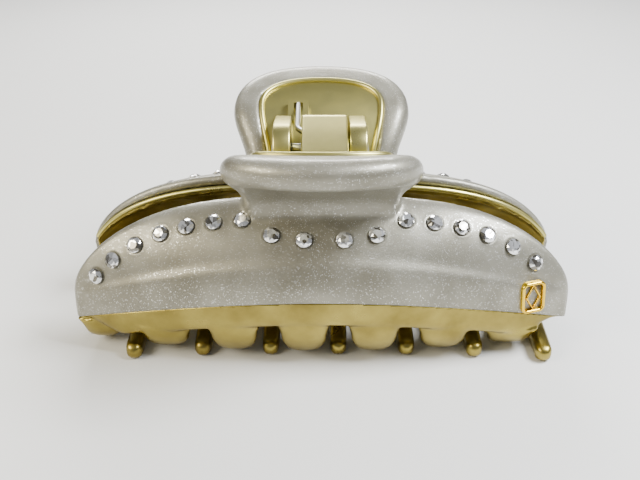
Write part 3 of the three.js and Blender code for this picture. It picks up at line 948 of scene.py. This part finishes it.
@dataclass(frozen=True)
class PearlShell:
    """Outer shell of a jaw with its pillowy thumb tab."""

    shape: JawShape
    tab: TabShape
    wall: float = 2.0
    rim_swell: float = 0.6
    end_round: float = 1.1
    crease_up: float = 7.0
    crease_up_end: float = 5.0
    crease_step: float = 0.55
    neck_start: float = 3.0
    neck_flare: float = 2.4
    neck_flare_run: float = 8.0
    floor_lift: float = 0.65
    tip_ease: float = 0.18
    overrun: float = 0.9
    inset_blend: float = 0.35
    crease_run: float = 1.6
    tip_ease_run: float = 5.0
    tip_ease_early: float = 2.0
    voxel: float = 0.36
    easing: int = 7

    def wall_rings(self) -> Ring:
        """Rings of the curved wall, with a round top rim, round ends and a soft crease.

        Returns:
            Array of shape (rings, points, 3), in millimetres.
        """
        shape = self.shape
        rows = np.linspace(0, 1, 34)
        rings = []
        for x in shape.stations(171, 0.0):
            past = max(abs(x) - (shape.half_length - self.end_round), 0) / self.end_round
            half = self.wall / 2 * math.sqrt(max(1 - past**2, 0.01))
            outer = shape.skin(x, rows, self.wall / 2 - half)
            crease = shape.seam(x)[1] + mix(self.crease_up, self.crease_up_end, shape.along(x) ** 2)
            flare = self.crease_step * smooth((crease - outer[:, 1]) / self.crease_run + 0.5)
            fade = smooth((1 - shape.along(x)) / 0.12)
            outer[:, 0] -= (self.crease_step - flare) * fade * smooth(rows / 0.3)
            inner = shape.skin(x, rows, self.wall / 2 + half)
            below = np.array([0.0, -self.overrun])
            outer = np.concatenate([outer, outer[-1:] + below])
            inner = np.concatenate([inner, inner[-1:] + below])
            arm = (outer[0] - inner[0]) / 2
            middle = (outer[0] + inner[0]) / 2
            angle = np.linspace(-90, 90, 9)[1:-1, None] * math.pi / 180
            away = np.array([-arm[1], arm[0]]) * self.rim_swell
            rim = middle + arm * np.sin(angle) + away * np.cos(angle)
            ring = np.concatenate([outer, inner[::-1], rim])
            rings.append(shape.on_front(x, ring))
        return np.array(rings)

    def tab_rings(self) -> Ring:
        """Rings of the tab: pillowy all round, with the inset sunk in its inner face.

        Returns:
            Array of shape (rings, points, 3), in millimetres.
        """
        tab = self.tab
        half = tab.thickness / 2
        outline = tab.outline(tab.tab_width, tab.length)
        end = tab.inset_end
        inset = tab.outline(tab.inset_width, end)
        across = -np.cos(np.linspace(0, math.pi, 75))
        share = np.linspace(0, 1, 100)
        rings = []
        for s in mix(self.neck_start, tab.length - 0.01, np.sin(share * math.pi / 2)):
            x = across * tab.tab_width(s)
            edge = np.minimum(tab.edge_distance(x, np.full_like(x, s), outline), half)
            lift = np.sqrt(np.maximum(edge * (2 * half - edge), 1e-4))
            inside = (np.abs(x) < tab.inset_width(min(s, end))) & (s < end)
            reach = tab.edge_distance(x, np.full_like(x, s), inset)
            sunk = smooth(np.where(inside, reach, 0) / self.inset_blend)
            tip_share = smooth((s - tab.round_start + self.tip_ease_early) / self.tip_ease_run)
            face = lift * (1 - self.tip_ease * tip_share)
            inner = mix(face, np.minimum(self.floor_lift, face), sunk)
            run = (s - self.neck_start) / self.neck_flare_run
            flare = self.neck_flare * max(1 - run, 0) ** 2
            outer = -lift - flare * np.minimum(lift / half, 1)
            rings.append(np.concatenate([tab.at(x, s, inner), tab.at(x[::-1], s, outer[::-1])]))
        return np.array(rings)

    def build(self, jaw: Jaw, stones: "StoneRow") -> None:
        """Builds and dresses the shell of one jaw, with a dimple under each stone.

        Args:
            jaw: Jaw that it belongs to.
            stones: Stones that press dimples into it.
        """
        stock = Stock().add_loft(self.wall_rings()).add_loft(self.tab_rings())
        piece = stock.to_object(f"{jaw.word}_pearl_shell", jaw)
        fuse(piece, self.voxel, self.easing)
        cut = seam_cutter(self.shape, jaw, (0.0, 30.0), (-2 * self.overrun, 0.0))
        piece = settle(trimmed(piece, cut))
        stones.dimple(piece, jaw)
        dress(piece, jaw, PEARL, f"{jaw.word}_shell")


@dataclass(frozen=True)
class GoldLiner:
    """Inner liner of a jaw: bead, inner wall, band below the seam and seven curved teeth."""

    shape: JawShape
    tab: TabShape
    shell_wall: float = 2.0
    gap: float = 0.3
    wall: float = 1.2
    lip: float = 1.2
    end_trim: float = 1.0
    tooth_count: int = 7
    tooth_pitch: float = 12.4
    tooth_thickness: float = 3.2
    tooth_root: float = 8.2
    tooth_body: float = 3.6
    tooth_tip: float = 3.0
    reach: float = 12.6
    reach_end: float = 15.2
    tooth_shoulder: float = 0.2
    tooth_narrowed: float = 0.95
    gullet_fillet: float = 2.6
    gullet_run: float = 0.24
    bead_radius: float = 0.5
    bead_out: float = 0.95
    bead_spacing: float = 0.5
    bead_start: float = 6.0
    lip_lean: float = 0.8
    root_bite: float = 0.9
    bend_most: float = 8.5
    bend_share: float = 0.8
    tooth_roundness: float = 3.2
    seam_gap: float = 0.1
    overrun: float = 0.6
    voxel: float = 0.34
    easing: int = 4

    def wall_rings(self) -> Ring:
        """Rings of the inner wall with the band that shows below the shell.

        Returns:
            Array of shape (rings, points, 3), in millimetres.
        """
        shape = self.shape
        outer_depth = self.shell_wall + self.gap
        inner_depth = outer_depth + self.wall
        rows = np.linspace(0, 1, 30)
        rings = []
        for x in shape.stations(151, self.end_trim):
            lean = shape.lean(x)
            lip = np.array([self.lip * (1 - self.lip_lean * lean), 0])
            outer = shape.skin(x, rows, outer_depth)
            inner = shape.skin(x, rows, inner_depth)
            low_out, low_up = shape.seam(x)
            edge_out, edge_up = shape.band_edge(x)
            angle = np.linspace(0, math.pi / 2, 8)
            face_top = low_up + self.overrun
            face = np.stack([
                mix(edge_out, low_out, np.cos(angle) ** 0.8),
                mix(face_top, edge_up, np.sin(angle))], axis=-1)
            back = np.array([[edge_out - inner_depth + shape.band_tuck, edge_up]])
            step = np.array([[low_out - outer_depth, face_top]])
            ring = np.concatenate([
                [outer[0] - lip], outer, step, face, back, inner[::-1], [inner[0] - lip]])
            rings.append(shape.on_front(x, ring))
        return np.array(rings)

    def tooth_rings(self, x: float) -> Ring:
        """Rings of one tooth: down from the band, then level past the mid-plane.

        Args:
            x: Place along the clip.

        Returns:
            Array of shape (rings, points, 3), in millimetres.
        """
        shape = self.shape
        edge_out, edge_up = shape.band_edge(x)
        middle = self.tooth_thickness / 2
        root_out = edge_out - (self.shell_wall + self.gap + self.wall - shape.band_tuck) / 2
        root_width = min(self.tooth_root, 2 * (shape.half_length - self.end_trim - abs(x)))
        seam_up = shape.seam(abs(x) + root_width / 2)[1]
        root_up = min(edge_up + self.root_bite, seam_up - 2 * self.gap)
        reach = mix(self.reach, self.reach_end, shape.along(x) ** 3)
        bend = min(self.bend_most, root_out * self.bend_share)
        control = np.array([
            (root_out, root_up), (root_out - 0.2, mix(middle, root_up, 0.35)),
            (root_out - bend * 0.35, middle), (root_out - bend, middle)])
        t = np.linspace(0, 1, 26)[:, None]
        curve = bezier(control, t)
        level = np.linspace(root_out - bend, middle - reach, 20)[1:]
        curve = np.concatenate([curve, np.stack([level, np.full_like(level, middle)], -1)])
        tangent = np.gradient(curve, axis=0)
        tangent /= np.linalg.norm(tangent, axis=1, keepdims=True)
        share = np.minimum(np.arange(len(curve)) / (len(t) - 1), 1)
        run = self.tooth_narrowed - self.tooth_shoulder
        narrowed = smooth((share - self.tooth_shoulder) / run)
        widths = mix(root_width, self.tooth_body, narrowed)
        arch = np.clip(1 - share / self.gullet_run, 0, 1) ** 2
        widths += arch * self.gullet_fillet * root_width / self.tooth_root
        past = np.clip((middle - curve[:, 0]) / (reach + middle), 0, 1)
        widths = mix(widths, self.tooth_tip, past * (share >= 1))
        rings = [self._section(x, p, d, w, 1.0) for p, d, w in zip(curve, tangent, widths)]
        for angle in np.linspace(0, math.pi / 2, 9)[1:]:
            place = np.array([middle - reach - middle * math.sin(angle), middle])
            scale = max(math.cos(angle), 0.03)
            rings.append(self._section(x, place, np.array([-1.0, 0.0]), self.tooth_tip, scale))
        return np.array(rings)

    def _section(
            self, x: float, place: np.ndarray, direction: np.ndarray, width: float,
            scale: float) -> Ring:
        """Rounded section of a tooth, square to its direction.

        Args:
            x: Place along the clip.
            place: Out and up of its middle.
            direction: Way that the tooth runs there.
            width: Full width.
            scale: Share of the full section.

        Returns:
            Array of shape (rings, points, 3), in millimetres.
        """
        way = circle(28)
        soft = np.sign(way) * np.abs(way) ** (2 / self.tooth_roundness)
        across = width / 2 * scale * soft[:, 0]
        lift = self.tooth_thickness / 2 * scale * soft[:, 1]
        out = place[0] - direction[1] * lift
        up = place[1] + direction[0] * lift
        return np.stack([x + across, -out, up], axis=-1)

    def tooth_places(self) -> np.ndarray:
        """Place along the clip of each tooth of the front jaw."""
        middle = (self.tooth_count - 1) / 2
        return (np.arange(self.tooth_count) - middle - 0.25) * self.tooth_pitch

    def beads(self, jaw: Jaw, tree: Tree) -> None:
        """Bright beads along the liner's top edge and round the tab's gold panel.

        Args:
            jaw: Jaw that it belongs to.
            tree: Node tree to use.
        """
        shape, tab = self.shape, self.tab
        xs = shape.stations(121, self.end_trim + self.gap)
        edge = shape.skin(xs, 0.0, self.shell_wall + self.gap / 2)
        edge[:, 0] -= self.bead_out * (1 - self.lip_lean * shape.lean(xs))
        half = tab.outline(tab.inset_width, tab.inset_end, 90)
        half = half[half[:, 1] > self.bead_start] - np.array([self.gap + 0.1, 0.0])
        half[:, 0] = np.maximum(half[:, 0], 0)
        loop = np.concatenate([half * [-1, 1], half[::-1][1:]])
        round_panel = tab.at(loop[:, 0], loop[:, 1] - 0.2, tab.panel_top + 0.12)
        for word, chain in (("top", shape.on_front(xs, edge)), ("panel", round_panel)):
            piece = path_object(f"{jaw.word}_{word}_bead", jaw.turn(chain))
            grow(piece, tree, {
                "Radius": self.bead_radius, "Spacing": self.bead_spacing,
                "Material": SATIN_GOLD.material()})
            dress(settle(piece), jaw, SATIN_GOLD)

    def panel(self, jaw: Jaw) -> None:
        """Gold panel let into the thumb tab.

        Args:
            jaw: Jaw that it belongs to.
        """
        tab = self.tab
        across = np.linspace(-1, 1, 33)
        end = tab.inset_end - self.gap
        rings = []
        for s in mix(1.6, end - 0.02, np.sin(np.linspace(0, 1, 44) * math.pi / 2)):
            half = max(float(tab.inset_width(s + self.gap)) - self.gap, 0.2)
            x = across * half
            top = tab.at(x, s, tab.panel_top)
            low = tab.at(x[::-1], s, tab.panel_top - self.wall)
            rings.append(np.concatenate([top, low]))
        piece = Stock().add_loft(np.array(rings)).to_object(f"{jaw.word}_tab_panel", jaw)
        piece = settle(piece, smooth_angle=40)
        dress(piece, jaw, SATIN_GOLD)

    def build(self, jaw: Jaw, bead_tree: Tree) -> None:
        """Builds and dresses the liner of one jaw.

        Args:
            jaw: Jaw that it belongs to.
            bead_tree: Tree that makes the beads.
        """
        stock = Stock().add_loft(self.wall_rings())
        for x in self.tooth_places():
            stock.add_loft(self.tooth_rings(float(x)))
        piece = stock.to_object(f"{jaw.word}_gold_liner", jaw)
        fuse(piece, self.voxel, self.easing)
        inside = self.shell_wall + self.gap / 2
        cut = seam_cutter(
            self.shape, jaw, (-inside, 5.0), (-self.seam_gap, 2 * self.overrun), from_seam=True)
        # The liner takes the darker gold, which paints in the shade on its band and teeth.
        dress(settle(trimmed(piece, cut)), jaw, SHADED_LINER_GOLD, f"{jaw.word}_liner")
        self.panel(jaw)
        self.beads(jaw, bead_tree)


# ---- hinge ----


@dataclass(frozen=True)
class Hinge:
    """Spring housing on the front jaw, knuckles on the back jaw, the pin and the spring."""

    tab: TabShape
    pin_radius: float = 1.0
    pin_gap: float = 0.3
    knuckle_radius: float = 4.6
    knuckle_width: float = 3.1
    housing_radius: float = 5.9
    housing_width: float = 7.9
    housing_shift: float = 0.55
    housing_bore: float = 3.9
    housing_top_back: float = 3.1
    housing_top_up: float = 5.4
    housing_cheek: float = 1.0
    leg_slot: float = 1.6
    gap: float = 0.3
    root_s: float = 17.0
    low_s: float = 6.2
    liner_wall: float = 1.2
    web_crown: float = 0.55
    web_crown_up: float = 0.72
    web_side: float = 0.86
    web_waist: float = 0.6
    web_waist_drop: float = 2.5
    edge_round: float = 0.35
    sharp_degrees: float = 35
    spring_wire: float = 1.0
    spring_radius: float = 2.7
    spring_pitch: float = 1.15
    spring_leg: float = 10.3
    spring_leg_slope: float = 0.2
    spring_tail: float = 1.4
    leg_rest_width: float = 3.8
    leg_rest_from: float = 13.6
    leg_rest_to: float = 17.2
    leg_rest_height: float = 1.5
    leg_rest_stop: float = 0.6

    @property
    def housing_from(self) -> float:
        """Open side of the housing along the clip."""
        return self.housing_shift - self.housing_width / 2

    @property
    def housing_to(self) -> float:
        """Closed side of the housing along the clip."""
        return self.housing_shift + self.housing_width / 2

    def _outline(self, radius: float, side: int) -> np.ndarray:
        """Outline of a barrel with its web down to a tab's panel, as y and z.

        Args:
            radius: Radius of the barrel.
            side: 1 towards the front tab, -1 towards the back.

        Returns:
            Outline, as y and z.
        """
        _, reach_y, reach_up = self.tab.at(0, self.root_s, 0)
        _, low_y, low_up = self.tab.at(0, self.low_s, 0)
        angle = np.radians(np.linspace(-90, 90, 37))
        barrel = np.stack([radius * np.cos(angle), HINGE_HEIGHT + radius * np.sin(angle)], -1)
        web = np.array([
            [reach_y * self.web_crown, HINGE_HEIGHT + radius * self.web_crown_up],
            [reach_y * self.web_side, reach_up],
            [reach_y * self.web_waist, HINGE_HEIGHT - self.web_waist_drop],
            [low_y, low_up],
            [low_y + self.liner_wall, low_up]])
        return np.concatenate([barrel, web]) * [side, 1]

    def _flat_topped(self, outline: np.ndarray) -> np.ndarray:
        """The housing's outline with its top cut to a flat that slants to the front panel.

        Args:
            outline: Outline, as y and z.

        Returns:
            Outline, as y and z.
        """
        _, reach_y, reach_up = self.tab.at(0, self.root_s, 0)
        top_up = HINGE_HEIGHT + self.housing_top_up
        drop = (top_up - reach_up) / (self.housing_top_back - reach_y)
        flat = top_up + drop * (outline[:, 0] - self.housing_top_back)
        return np.column_stack([outline[:, 0], np.minimum(outline[:, 1], flat)])

    def _bar(self, outline: np.ndarray, start: float, end: float) -> Stock:
        """Bar of an outline in Y and Z from one x to another."""
        ends = [np.column_stack([np.full(len(outline), x), outline]) for x in (start, end)]
        return Stock().add_loft(np.array(ends))

    def _disc(self, name: str, radius: float, start: float, end: float) -> Obj:
        """Cylinder on the hinge axis, for cutting."""
        outline = radius * circle(48) + [0, HINGE_HEIGHT]
        return self._bar(outline, start, end).to_object(name)

    def _cut(self, piece: Obj, cutters: list[Obj]) -> Obj:
        """Bores a piece, rounds its edges and finishes it.

        Args:
            piece: Object to work on.
            cutters: Bodies to cut away. They are removed.

        Returns:
            The object.
        """
        for cutter in cutters:
            add_modifier(piece, "BOOLEAN", operation="DIFFERENCE", solver="EXACT", object=cutter)
        add_modifier(
            piece, "BEVEL", width=self.edge_round, segments=3, limit_method="ANGLE",
            angle_limit=math.radians(self.sharp_degrees), harden_normals=False)
        done = settle(piece, smooth_angle=self.sharp_degrees)
        for cutter in cutters:
            bpy.data.objects.remove(cutter)
        return done

    def housing(self) -> None:
        """Block that covers the coil, open on the side where the spring's leg comes out."""
        start, end = self.housing_from, self.housing_to
        outline = self._flat_topped(self._outline(self.housing_radius, 1))
        piece = self._bar(outline, start, end).to_object("front_spring_housing")
        bore = self._disc("bore", self.housing_bore, start - 3, end - self.housing_cheek)
        hole = self._disc("hole", self.pin_radius + self.pin_gap, start, end + 3)
        dress(self._cut(piece, [bore, hole]), Jaw.FRONT, SATIN_GOLD)

    def knuckle_spans(self) -> list[tuple[float, float]]:
        """Start and end of both knuckles along the clip.

        Returns:
            A start and end for each knuckle.
        """
        left = self.housing_from - self.leg_slot - self.gap
        right = self.housing_to + self.gap
        return [(left - self.knuckle_width, left), (right, right + self.knuckle_width)]

    def knuckles(self) -> None:
        """Two ears of the back jaw that hold the pin."""
        for word, (start, end) in zip(("left", "right"), self.knuckle_spans()):
            bar = self._bar(self._outline(self.knuckle_radius, -1), start, end)
            piece = bar.to_object(f"back_{word}_knuckle")
            hole = self._disc("hole", self.pin_radius + self.pin_gap, start - 3, end + 3)
            dress(self._cut(piece, [hole]), Jaw.BACK, SATIN_GOLD)

    def pin(self) -> None:
        """Steel pin with domed ends."""
        start = self.knuckle_spans()[0][0] - self.gap
        end = self.knuckle_spans()[1][1] + self.gap
        dome, least, way = self.gap, 0.02, circle(32)
        rings = []
        for turn in np.linspace(-math.pi / 2, math.pi / 2, 13):
            middle = start + dome if turn < 0 else end - dome
            radius = least
            if abs(turn) < 1.57:
                radius = max(self.pin_radius * math.cos(turn) ** 0.5, least)
            x = middle + dome * math.sin(turn)
            rings.append(np.column_stack([
                np.full(len(way), x), radius * way + [0, HINGE_HEIGHT]]))
        piece = Stock().add_loft(np.array(rings)).to_object("steel_hinge_pin")
        piece = settle(piece, smooth_angle=50)
        dress(piece, Jaw.BACK, SPRING_STEEL, "hinge_pin")

    def spring(self, tree: Tree) -> None:
        """Coil about the pin, with a short tail and a long leg.

        Args:
            tree: Node tree to use.
        """
        start = self.housing_to - self.housing_cheek - self.gap - self.spring_wire / 2
        end = self.housing_from + self.spring_wire
        leg_x = self.housing_from - self.leg_slot / 2
        turns = math.floor((start - end) / self.spring_pitch - 0.25) + 0.25
        share = np.linspace(0, 1, int(turns * 40))
        angle = math.pi - math.tau * turns * share
        coil = np.column_stack([
            mix(start, end, share), self.spring_radius * np.cos(angle),
            HINGE_HEIGHT + self.spring_radius * np.sin(angle)])
        top = HINGE_HEIGHT + self.spring_radius
        short = coil[:1] + [[0, 0, -self.spring_tail]]
        bend = [[mix(end, leg_x, 0.5), self.spring_radius * 0.45, top]]
        leg = [[leg_x, y, top + self.spring_leg_slope * (y - self.spring_radius)]
               for y in (self.spring_radius, self.spring_leg * 0.6, self.spring_leg)]
        piece = path_object("steel_torsion_spring", np.concatenate([short, coil, bend, leg]))
        radius = self.spring_wire / 2
        grow(piece, tree, {
            "Radius": radius, "Spacing": radius * 0.6, "Sides": 14,
            "Material": SPRING_STEEL.material()})
        done = settle(piece, smooth_angle=60)
        done.data.materials.clear()
        done.data.materials.append(SPRING_STEEL.material())
        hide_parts("torsion_spring")
        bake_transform(done)
        log.info("%s: %d faces, winds between the jaws", done.name, len(done.data.polygons))

    def leg_rest(self) -> None:
        """Block on the back panel, notched for the end of the spring's leg."""
        middle = -(self.housing_from - self.leg_slot / 2)
        half, room = self.leg_rest_width / 2, self.spring_wire / 2 + self.gap
        low = self.tab.panel_top - self.liner_wall / 2
        top = self.tab.panel_top + self.leg_rest_height
        stop = self.leg_rest_to - self.leg_rest_stop
        stock = Stock()
        for across, along in (
                ((-half, -room), (self.leg_rest_from, self.leg_rest_to)),
                ((room, half), (self.leg_rest_from, self.leg_rest_to)),
                ((-half, half), (stop, self.leg_rest_to))):
            corners = [(across[0], low), (across[1], low), (across[1], top), (across[0], top)]
            stock.add_loft(np.array([
                [self.tab.at(middle + x, s, lift) for x, lift in corners]
                for s in np.linspace(*along, 5)]))
        piece = stock.to_object("back_leg_rest", Jaw.BACK)
        dress(settle(piece, smooth_angle=self.sharp_degrees), Jaw.BACK, SATIN_GOLD)

    def build(self, tree: Tree) -> None:
        """Builds every piece of the hinge.

        Args:
            tree: Node tree to use.
        """
        self.housing()
        self.knuckles()
        self.pin()
        self.spring(tree)
        self.leg_rest()


# ---- stones and badge ----


@dataclass(frozen=True)
class StoneRow:
    """Row of brilliant-cut stones along each jaw, dipping below the thumb tab."""

    shape: JawShape
    side_x: tuple = (14.0, 18.9, 23.65, 28.2, 32.8, 36.95, 40.2)
    dip_x: tuple = (3.4, 8.9)
    shift: float = 0.45
    row: float = 0.30
    row_end: float = 0.52
    row_dip: float = 0.477
    row_turn: float = 5.5
    dip_from: float = 7.0
    dip_to: float = 13.1
    radius: float = 1.4
    height: float = 1.4
    proud: float = 0.55
    dimple_depth: float = 0.22
    lip_height: float = 0.05
    seed_front: int = 7
    seed_back: int = 11

    def places(self, jaw: Jaw) -> list[Matrix]:
        """Place of each stone of a jaw, in the front jaw's frame.

        Args:
            jaw: Jaw that it belongs to.

        Returns:
            One matrix for each stone.
        """
        half = self.dip_x + self.side_x
        xs = [x + self.shift for x in (*(-x for x in reversed(half)), *half)]
        if jaw is Jaw.FRONT:
            xs = xs[:-1]
        return [self.shape.stand(x, self._row_at(x)) for x in xs]

    def _row_at(self, x: float) -> float:
        """How far down the skin the stones sit.

        Args:
            x: Place along the clip.

        Returns:
            Row of the skin.
        """
        from_middle = abs(x - self.shift)
        share = min(from_middle / self.side_x[-1], 1.0)
        side = mix(self.row, self.row_end, share**self.row_turn)
        climb = (from_middle - self.dip_from) / (self.dip_to - self.dip_from)
        return mix(self.row_dip, side, float(smooth(climb)))

    def cut_stone(self) -> Obj:
        """Brilliant cut: table, star and kite facets, girdle and a pointed back.

        Returns:
            The object.
        """
        girdle = self.proud - self.height * 0.35

        def ring(radius: float, height: float, twist: float, count: int = 8) -> list[tuple]:
            """Corners of one level of facets."""
            angles = [math.tau * (i + twist) / count for i in range(count)]
            return [(radius * math.cos(a), radius * math.sin(a), height) for a in angles]

        points = ring(self.radius * 0.56, self.proud, 0.0)
        points += ring(self.radius * 0.80, mix(girdle, self.proud, 0.55), 0.5)
        points += ring(self.radius, girdle, 0.0, 16)
        points += ring(self.radius, girdle - 0.08, 0.0, 16)
        points += [(0.0, 0.0, self.proud - self.height)]
        table, kite, rim, low, tip = 0, 8, 16, 32, 48
        faces = [tuple(range(8))]
        for i in range(8):
            after = (i + 1) % 8
            faces.append((table + i, kite + i, table + after))
            faces.append((table + i, kite + (i - 1) % 8, rim + 2 * i, kite + i))
            faces.append((kite + i, rim + 2 * i, rim + 2 * i + 1))
            faces.append((kite + i, rim + 2 * i + 1, rim + (2 * i + 2) % 16))
        for i in range(16):
            after = (i + 1) % 16
            faces.append((rim + i, low + i, low + after, rim + after))
            faces.append((low + i, tip, low + after))
        return Stock([np.array(points)], faces).to_object("cut_stone")

    def build(self, jaw: Jaw, tree: Tree) -> None:
        """Sets the stones of one jaw on points of its skin.

        Args:
            jaw: Jaw that it belongs to.
            tree: Node tree to use.
        """
        places = self.places(jaw)
        points = jaw.turn(np.array([list(place.translation) for place in places]))
        facing = jaw.turn(np.array([list(place.col[2].xyz) for place in places]))
        mesh = bpy.data.meshes.new(f"{jaw.word}_stones")
        mesh.from_pydata(points.tolist(), [], [])
        attribute = mesh.attributes.new("facing", "FLOAT_VECTOR", "POINT")
        attribute.data.foreach_set("vector", facing.ravel())
        piece = linked(f"{jaw.word}_stones", mesh)
        stone = self.cut_stone()
        seed = self.seed_front if jaw is Jaw.FRONT else self.seed_back
        grow(piece, tree, {"Stone": stone, "Seed": seed, "Material": CRYSTAL.material()})
        done = settle(piece)
        done.data.shade_flat()
        bpy.data.objects.remove(stone)
        names = [f"{jaw.word}_stone_{i:02d}" for i in range(1, len(places) + 1)]
        dress(done, jaw, CRYSTAL, *names)

    def dimple(self, shell: Obj, jaw: Jaw) -> None:
        """Presses a dimple with a soft raised lip into the shell under each stone.

        Args:
            shell: Finished shell of the jaw.
            jaw: Jaw that it belongs to.
        """
        vertices = shell.data.vertices
        flat = np.empty(len(vertices) * 3)
        vertices.foreach_get("co", flat)
        points = jaw.turn(flat.reshape(-1, 3) / MM)
        for place in self.places(jaw):
            centre = np.array(place.translation)
            outward = np.array(place.col[2].xyz)
            away = points - centre
            height = away @ outward
            radius = np.linalg.norm(away - height[:, None] * outward, axis=1)
            near = (radius < self.radius * 1.8) & (np.abs(height) < 1.0)
            sink = -self.dimple_depth * (1 - smooth((radius - self.radius * 0.8) / 0.35))
            lip = self.lip_height * np.exp(-(((radius - self.radius * 1.2) / 0.25) ** 2))
            points[near] += ((sink + lip)[near])[:, None] * outward
        vertices.foreach_set("co", (jaw.turn(points) * MM).ravel())
        shell.data.update()


@dataclass(frozen=True)
class Badge:
    """Small open frame with a plain lozenge, near the right end of the front jaw."""

    shape: JawShape
    x: float = 37.1
    row: float = 0.80
    width: float = 4.6
    height: float = 5.9
    bar: float = 0.6
    depth: float = 1.0
    sink: float = 0.35
    corner: float = 1.15
    crown: float = 0.25

    def _rectangle(self, inset: float, corner: float) -> np.ndarray:
        """Rounded rectangle drawn in from the badge's outline.

        Args:
            inset: How far it is drawn in.
            corner: Radius of its corners.

        Returns:
            Points of the outline.
        """
        half = np.array([self.width / 2 - inset - corner, self.height / 2 - inset - corner])
        way = circle(48)
        return np.where(way >= 0, 1, -1) * half + corner * way

    def _lozenge(self, inset: float) -> np.ndarray:
        """Upright lozenge drawn in from the frame.

        Args:
            inset: How far it is drawn in.

        Returns:
            Points of the outline.
        """
        half = np.array([
            self.width / 2 - self.bar * 1.3 - inset, self.height / 2 - self.bar * 0.7 - inset])
        way = circle(48)
        return way / np.abs(way).sum(axis=1, keepdims=True) * half

    def _band(self, outer: np.ndarray, inner: np.ndarray, top: float) -> Ring:
        """Ring with a rounded top between two outlines, as sections round the loop.

        Args:
            outer: Outer outline.
            inner: Inner outline.
            top: Height of its top.

        Returns:
            Array of shape (rings, points, 3), in millimetres.
        """
        rings = []
        for a, b in zip(outer, inner):
            middle, arm = (a + b) / 2, (a - b) / 2
            angle = np.linspace(0, math.pi, 7)
            crown = [
                (*(middle + arm * math.cos(t)), top - self.crown + self.crown * math.sin(t))
                for t in angle]
            rings.append([(*a, 0.0), *crown, (*b, 0.0)])
        return np.array(rings)

    def build(self) -> None:
        """Builds the badge and lays it on the shell."""
        stock = Stock()
        outer, inner = self._rectangle(0, self.corner), self._rectangle(self.bar, self.corner * 0.5)
        stock.add_loft(self._band(outer, inner, self.depth), closed=True)
        outer, inner = self._lozenge(0), self._lozenge(self.bar * 0.75)
        stock.add_loft(self._band(outer, inner, self.depth * 0.85), closed=True)
        piece = stock.to_object("gold_badge")
        place = self.shape.stand_upright(self.x, self.row)
        piece.data.transform(place @ Matrix.Translation((0, 0, -self.sink)))
        dress(settle(piece, smooth_angle=50), Jaw.FRONT, RICH_GOLD, "badge_frame")


# ---- studio ----


@dataclass(frozen=True)
class Studio:
    """Plain pale floor, soft lights and the camera."""

    camera_place: tuple = (-0.26, -136.5, 96.4)
    camera_pitch: float = 60.0
    lens: float = 47.8
    sensor: float = 36.0
    floor_half: float = 900.0
    floor_colour: str = "D9D8D4"
    world_colour: str = "C9CCD2"
    world_strength: float = 0.5

    def floor(self) -> None:
        """Seamless floor that rises far behind the clip."""
        half = self.floor_half * MM
        profile = [(-half, 0.0), (half * 0.45, 0.0)]
        profile += [(half * (0.45 + 0.3 * math.sin(t)), half * 0.3 * (1 - math.cos(t)))
                    for t in np.linspace(0, math.pi / 2, 12)[1:]]
        profile.append((half * 0.75, half * 1.2))
        points = [(side * half, y, z) for y, z in profile for side in (-1, 1)]
        faces = [(2 * i, 2 * i + 1, 2 * i + 3, 2 * i + 2) for i in range(len(profile) - 1)]
        mesh = bpy.data.meshes.new("floor")
        mesh.from_pydata(points, [], faces)
        mesh.shade_smooth()
        paper = bpy.data.materials.new("paper_backdrop")
        paper.use_nodes = True
        shader = paper.node_tree.nodes["Principled BSDF"]
        shader.inputs["Base Color"].default_value = linear(self.floor_colour)
        shader.inputs["Roughness"].default_value = 0.8
        mesh.materials.append(paper)
        piece = linked("floor", mesh)

    def light(
            self, name: str, place: tuple, aim: tuple, size: tuple, watts: float,
            colour: str) -> None:
        """Rectangular soft light that looks at a point.

        Args:
            name: Name of the light.
            place: Where it stands, in millimetres.
            aim: What it looks at, in millimetres.
            size: Width and height, in millimetres.
            watts: Its power.
            colour: sRGB hex colour.
        """
        lamp = bpy.data.lights.new(name, "AREA")
        lamp.shape = "RECTANGLE"
        lamp.size, lamp.size_y = size[0] * MM, size[1] * MM
        lamp.energy = watts
        lamp.color = linear(colour)[:3]
        holder = linked(name, lamp)
        holder.location = Vector(place) * MM
        way = Vector(aim) * MM - holder.location
        holder.rotation_euler = way.to_track_quat("-Z", "Y").to_euler()

    def camera(self) -> None:
        """Camera above and in front of the clip."""
        eye = bpy.data.cameras.new("camera")
        eye.lens = self.lens
        eye.sensor_width = self.sensor
        eye.clip_start = 0.005
        holder = linked("camera", eye)
        holder.location = Vector(self.camera_place) * MM
        holder.rotation_euler = (math.radians(self.camera_pitch), 0.0, 0.0)
        bpy.context.scene.camera = holder

    def build(self) -> None:
        """Sets up the floor, the lights, the sky and the camera."""
        self.floor()
        self.camera()
        self.light("key", (190, -40, 260), (0, 0, 20), (150, 110), 2.9, "F4F8FF")
        self.light("fill", (-230, -120, 190), (0, 0, 20), (180, 140), 1.1, "FFF6DE")
        self.light("rim", (-20, 260, 170), (0, 0, 25), (220, 90), 1.2, "FFFFFF")
        world = bpy.data.worlds.new("room")
        world.use_nodes = True
        sky = world.node_tree.nodes["Background"]
        sky.inputs["Color"].default_value = linear(self.world_colour)
        sky.inputs["Strength"].default_value = self.world_strength
        bpy.context.scene.world = world


def main() -> None:
    """Builds the clip and the studio in order."""
    logging.basicConfig(level=logging.INFO, format="%(name)s %(message)s")
    shape = JawShape(half_length=float(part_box("front_shell")[1][0]) / MM)
    tab = TabShape()
    bead_tree = wire_tree()
    setting_tree = stone_tree()
    shell = PearlShell(shape, tab)
    liner = GoldLiner(shape, tab)
    stones = StoneRow(shape)
    Studio().build()
    for jaw in Jaw:
        shell.build(jaw, stones)
        liner.build(jaw, bead_tree)
        stones.build(jaw, setting_tree)
    Hinge(tab).build(bead_tree)
    Badge(shape).build()


if __name__ == "__main__":
    main()
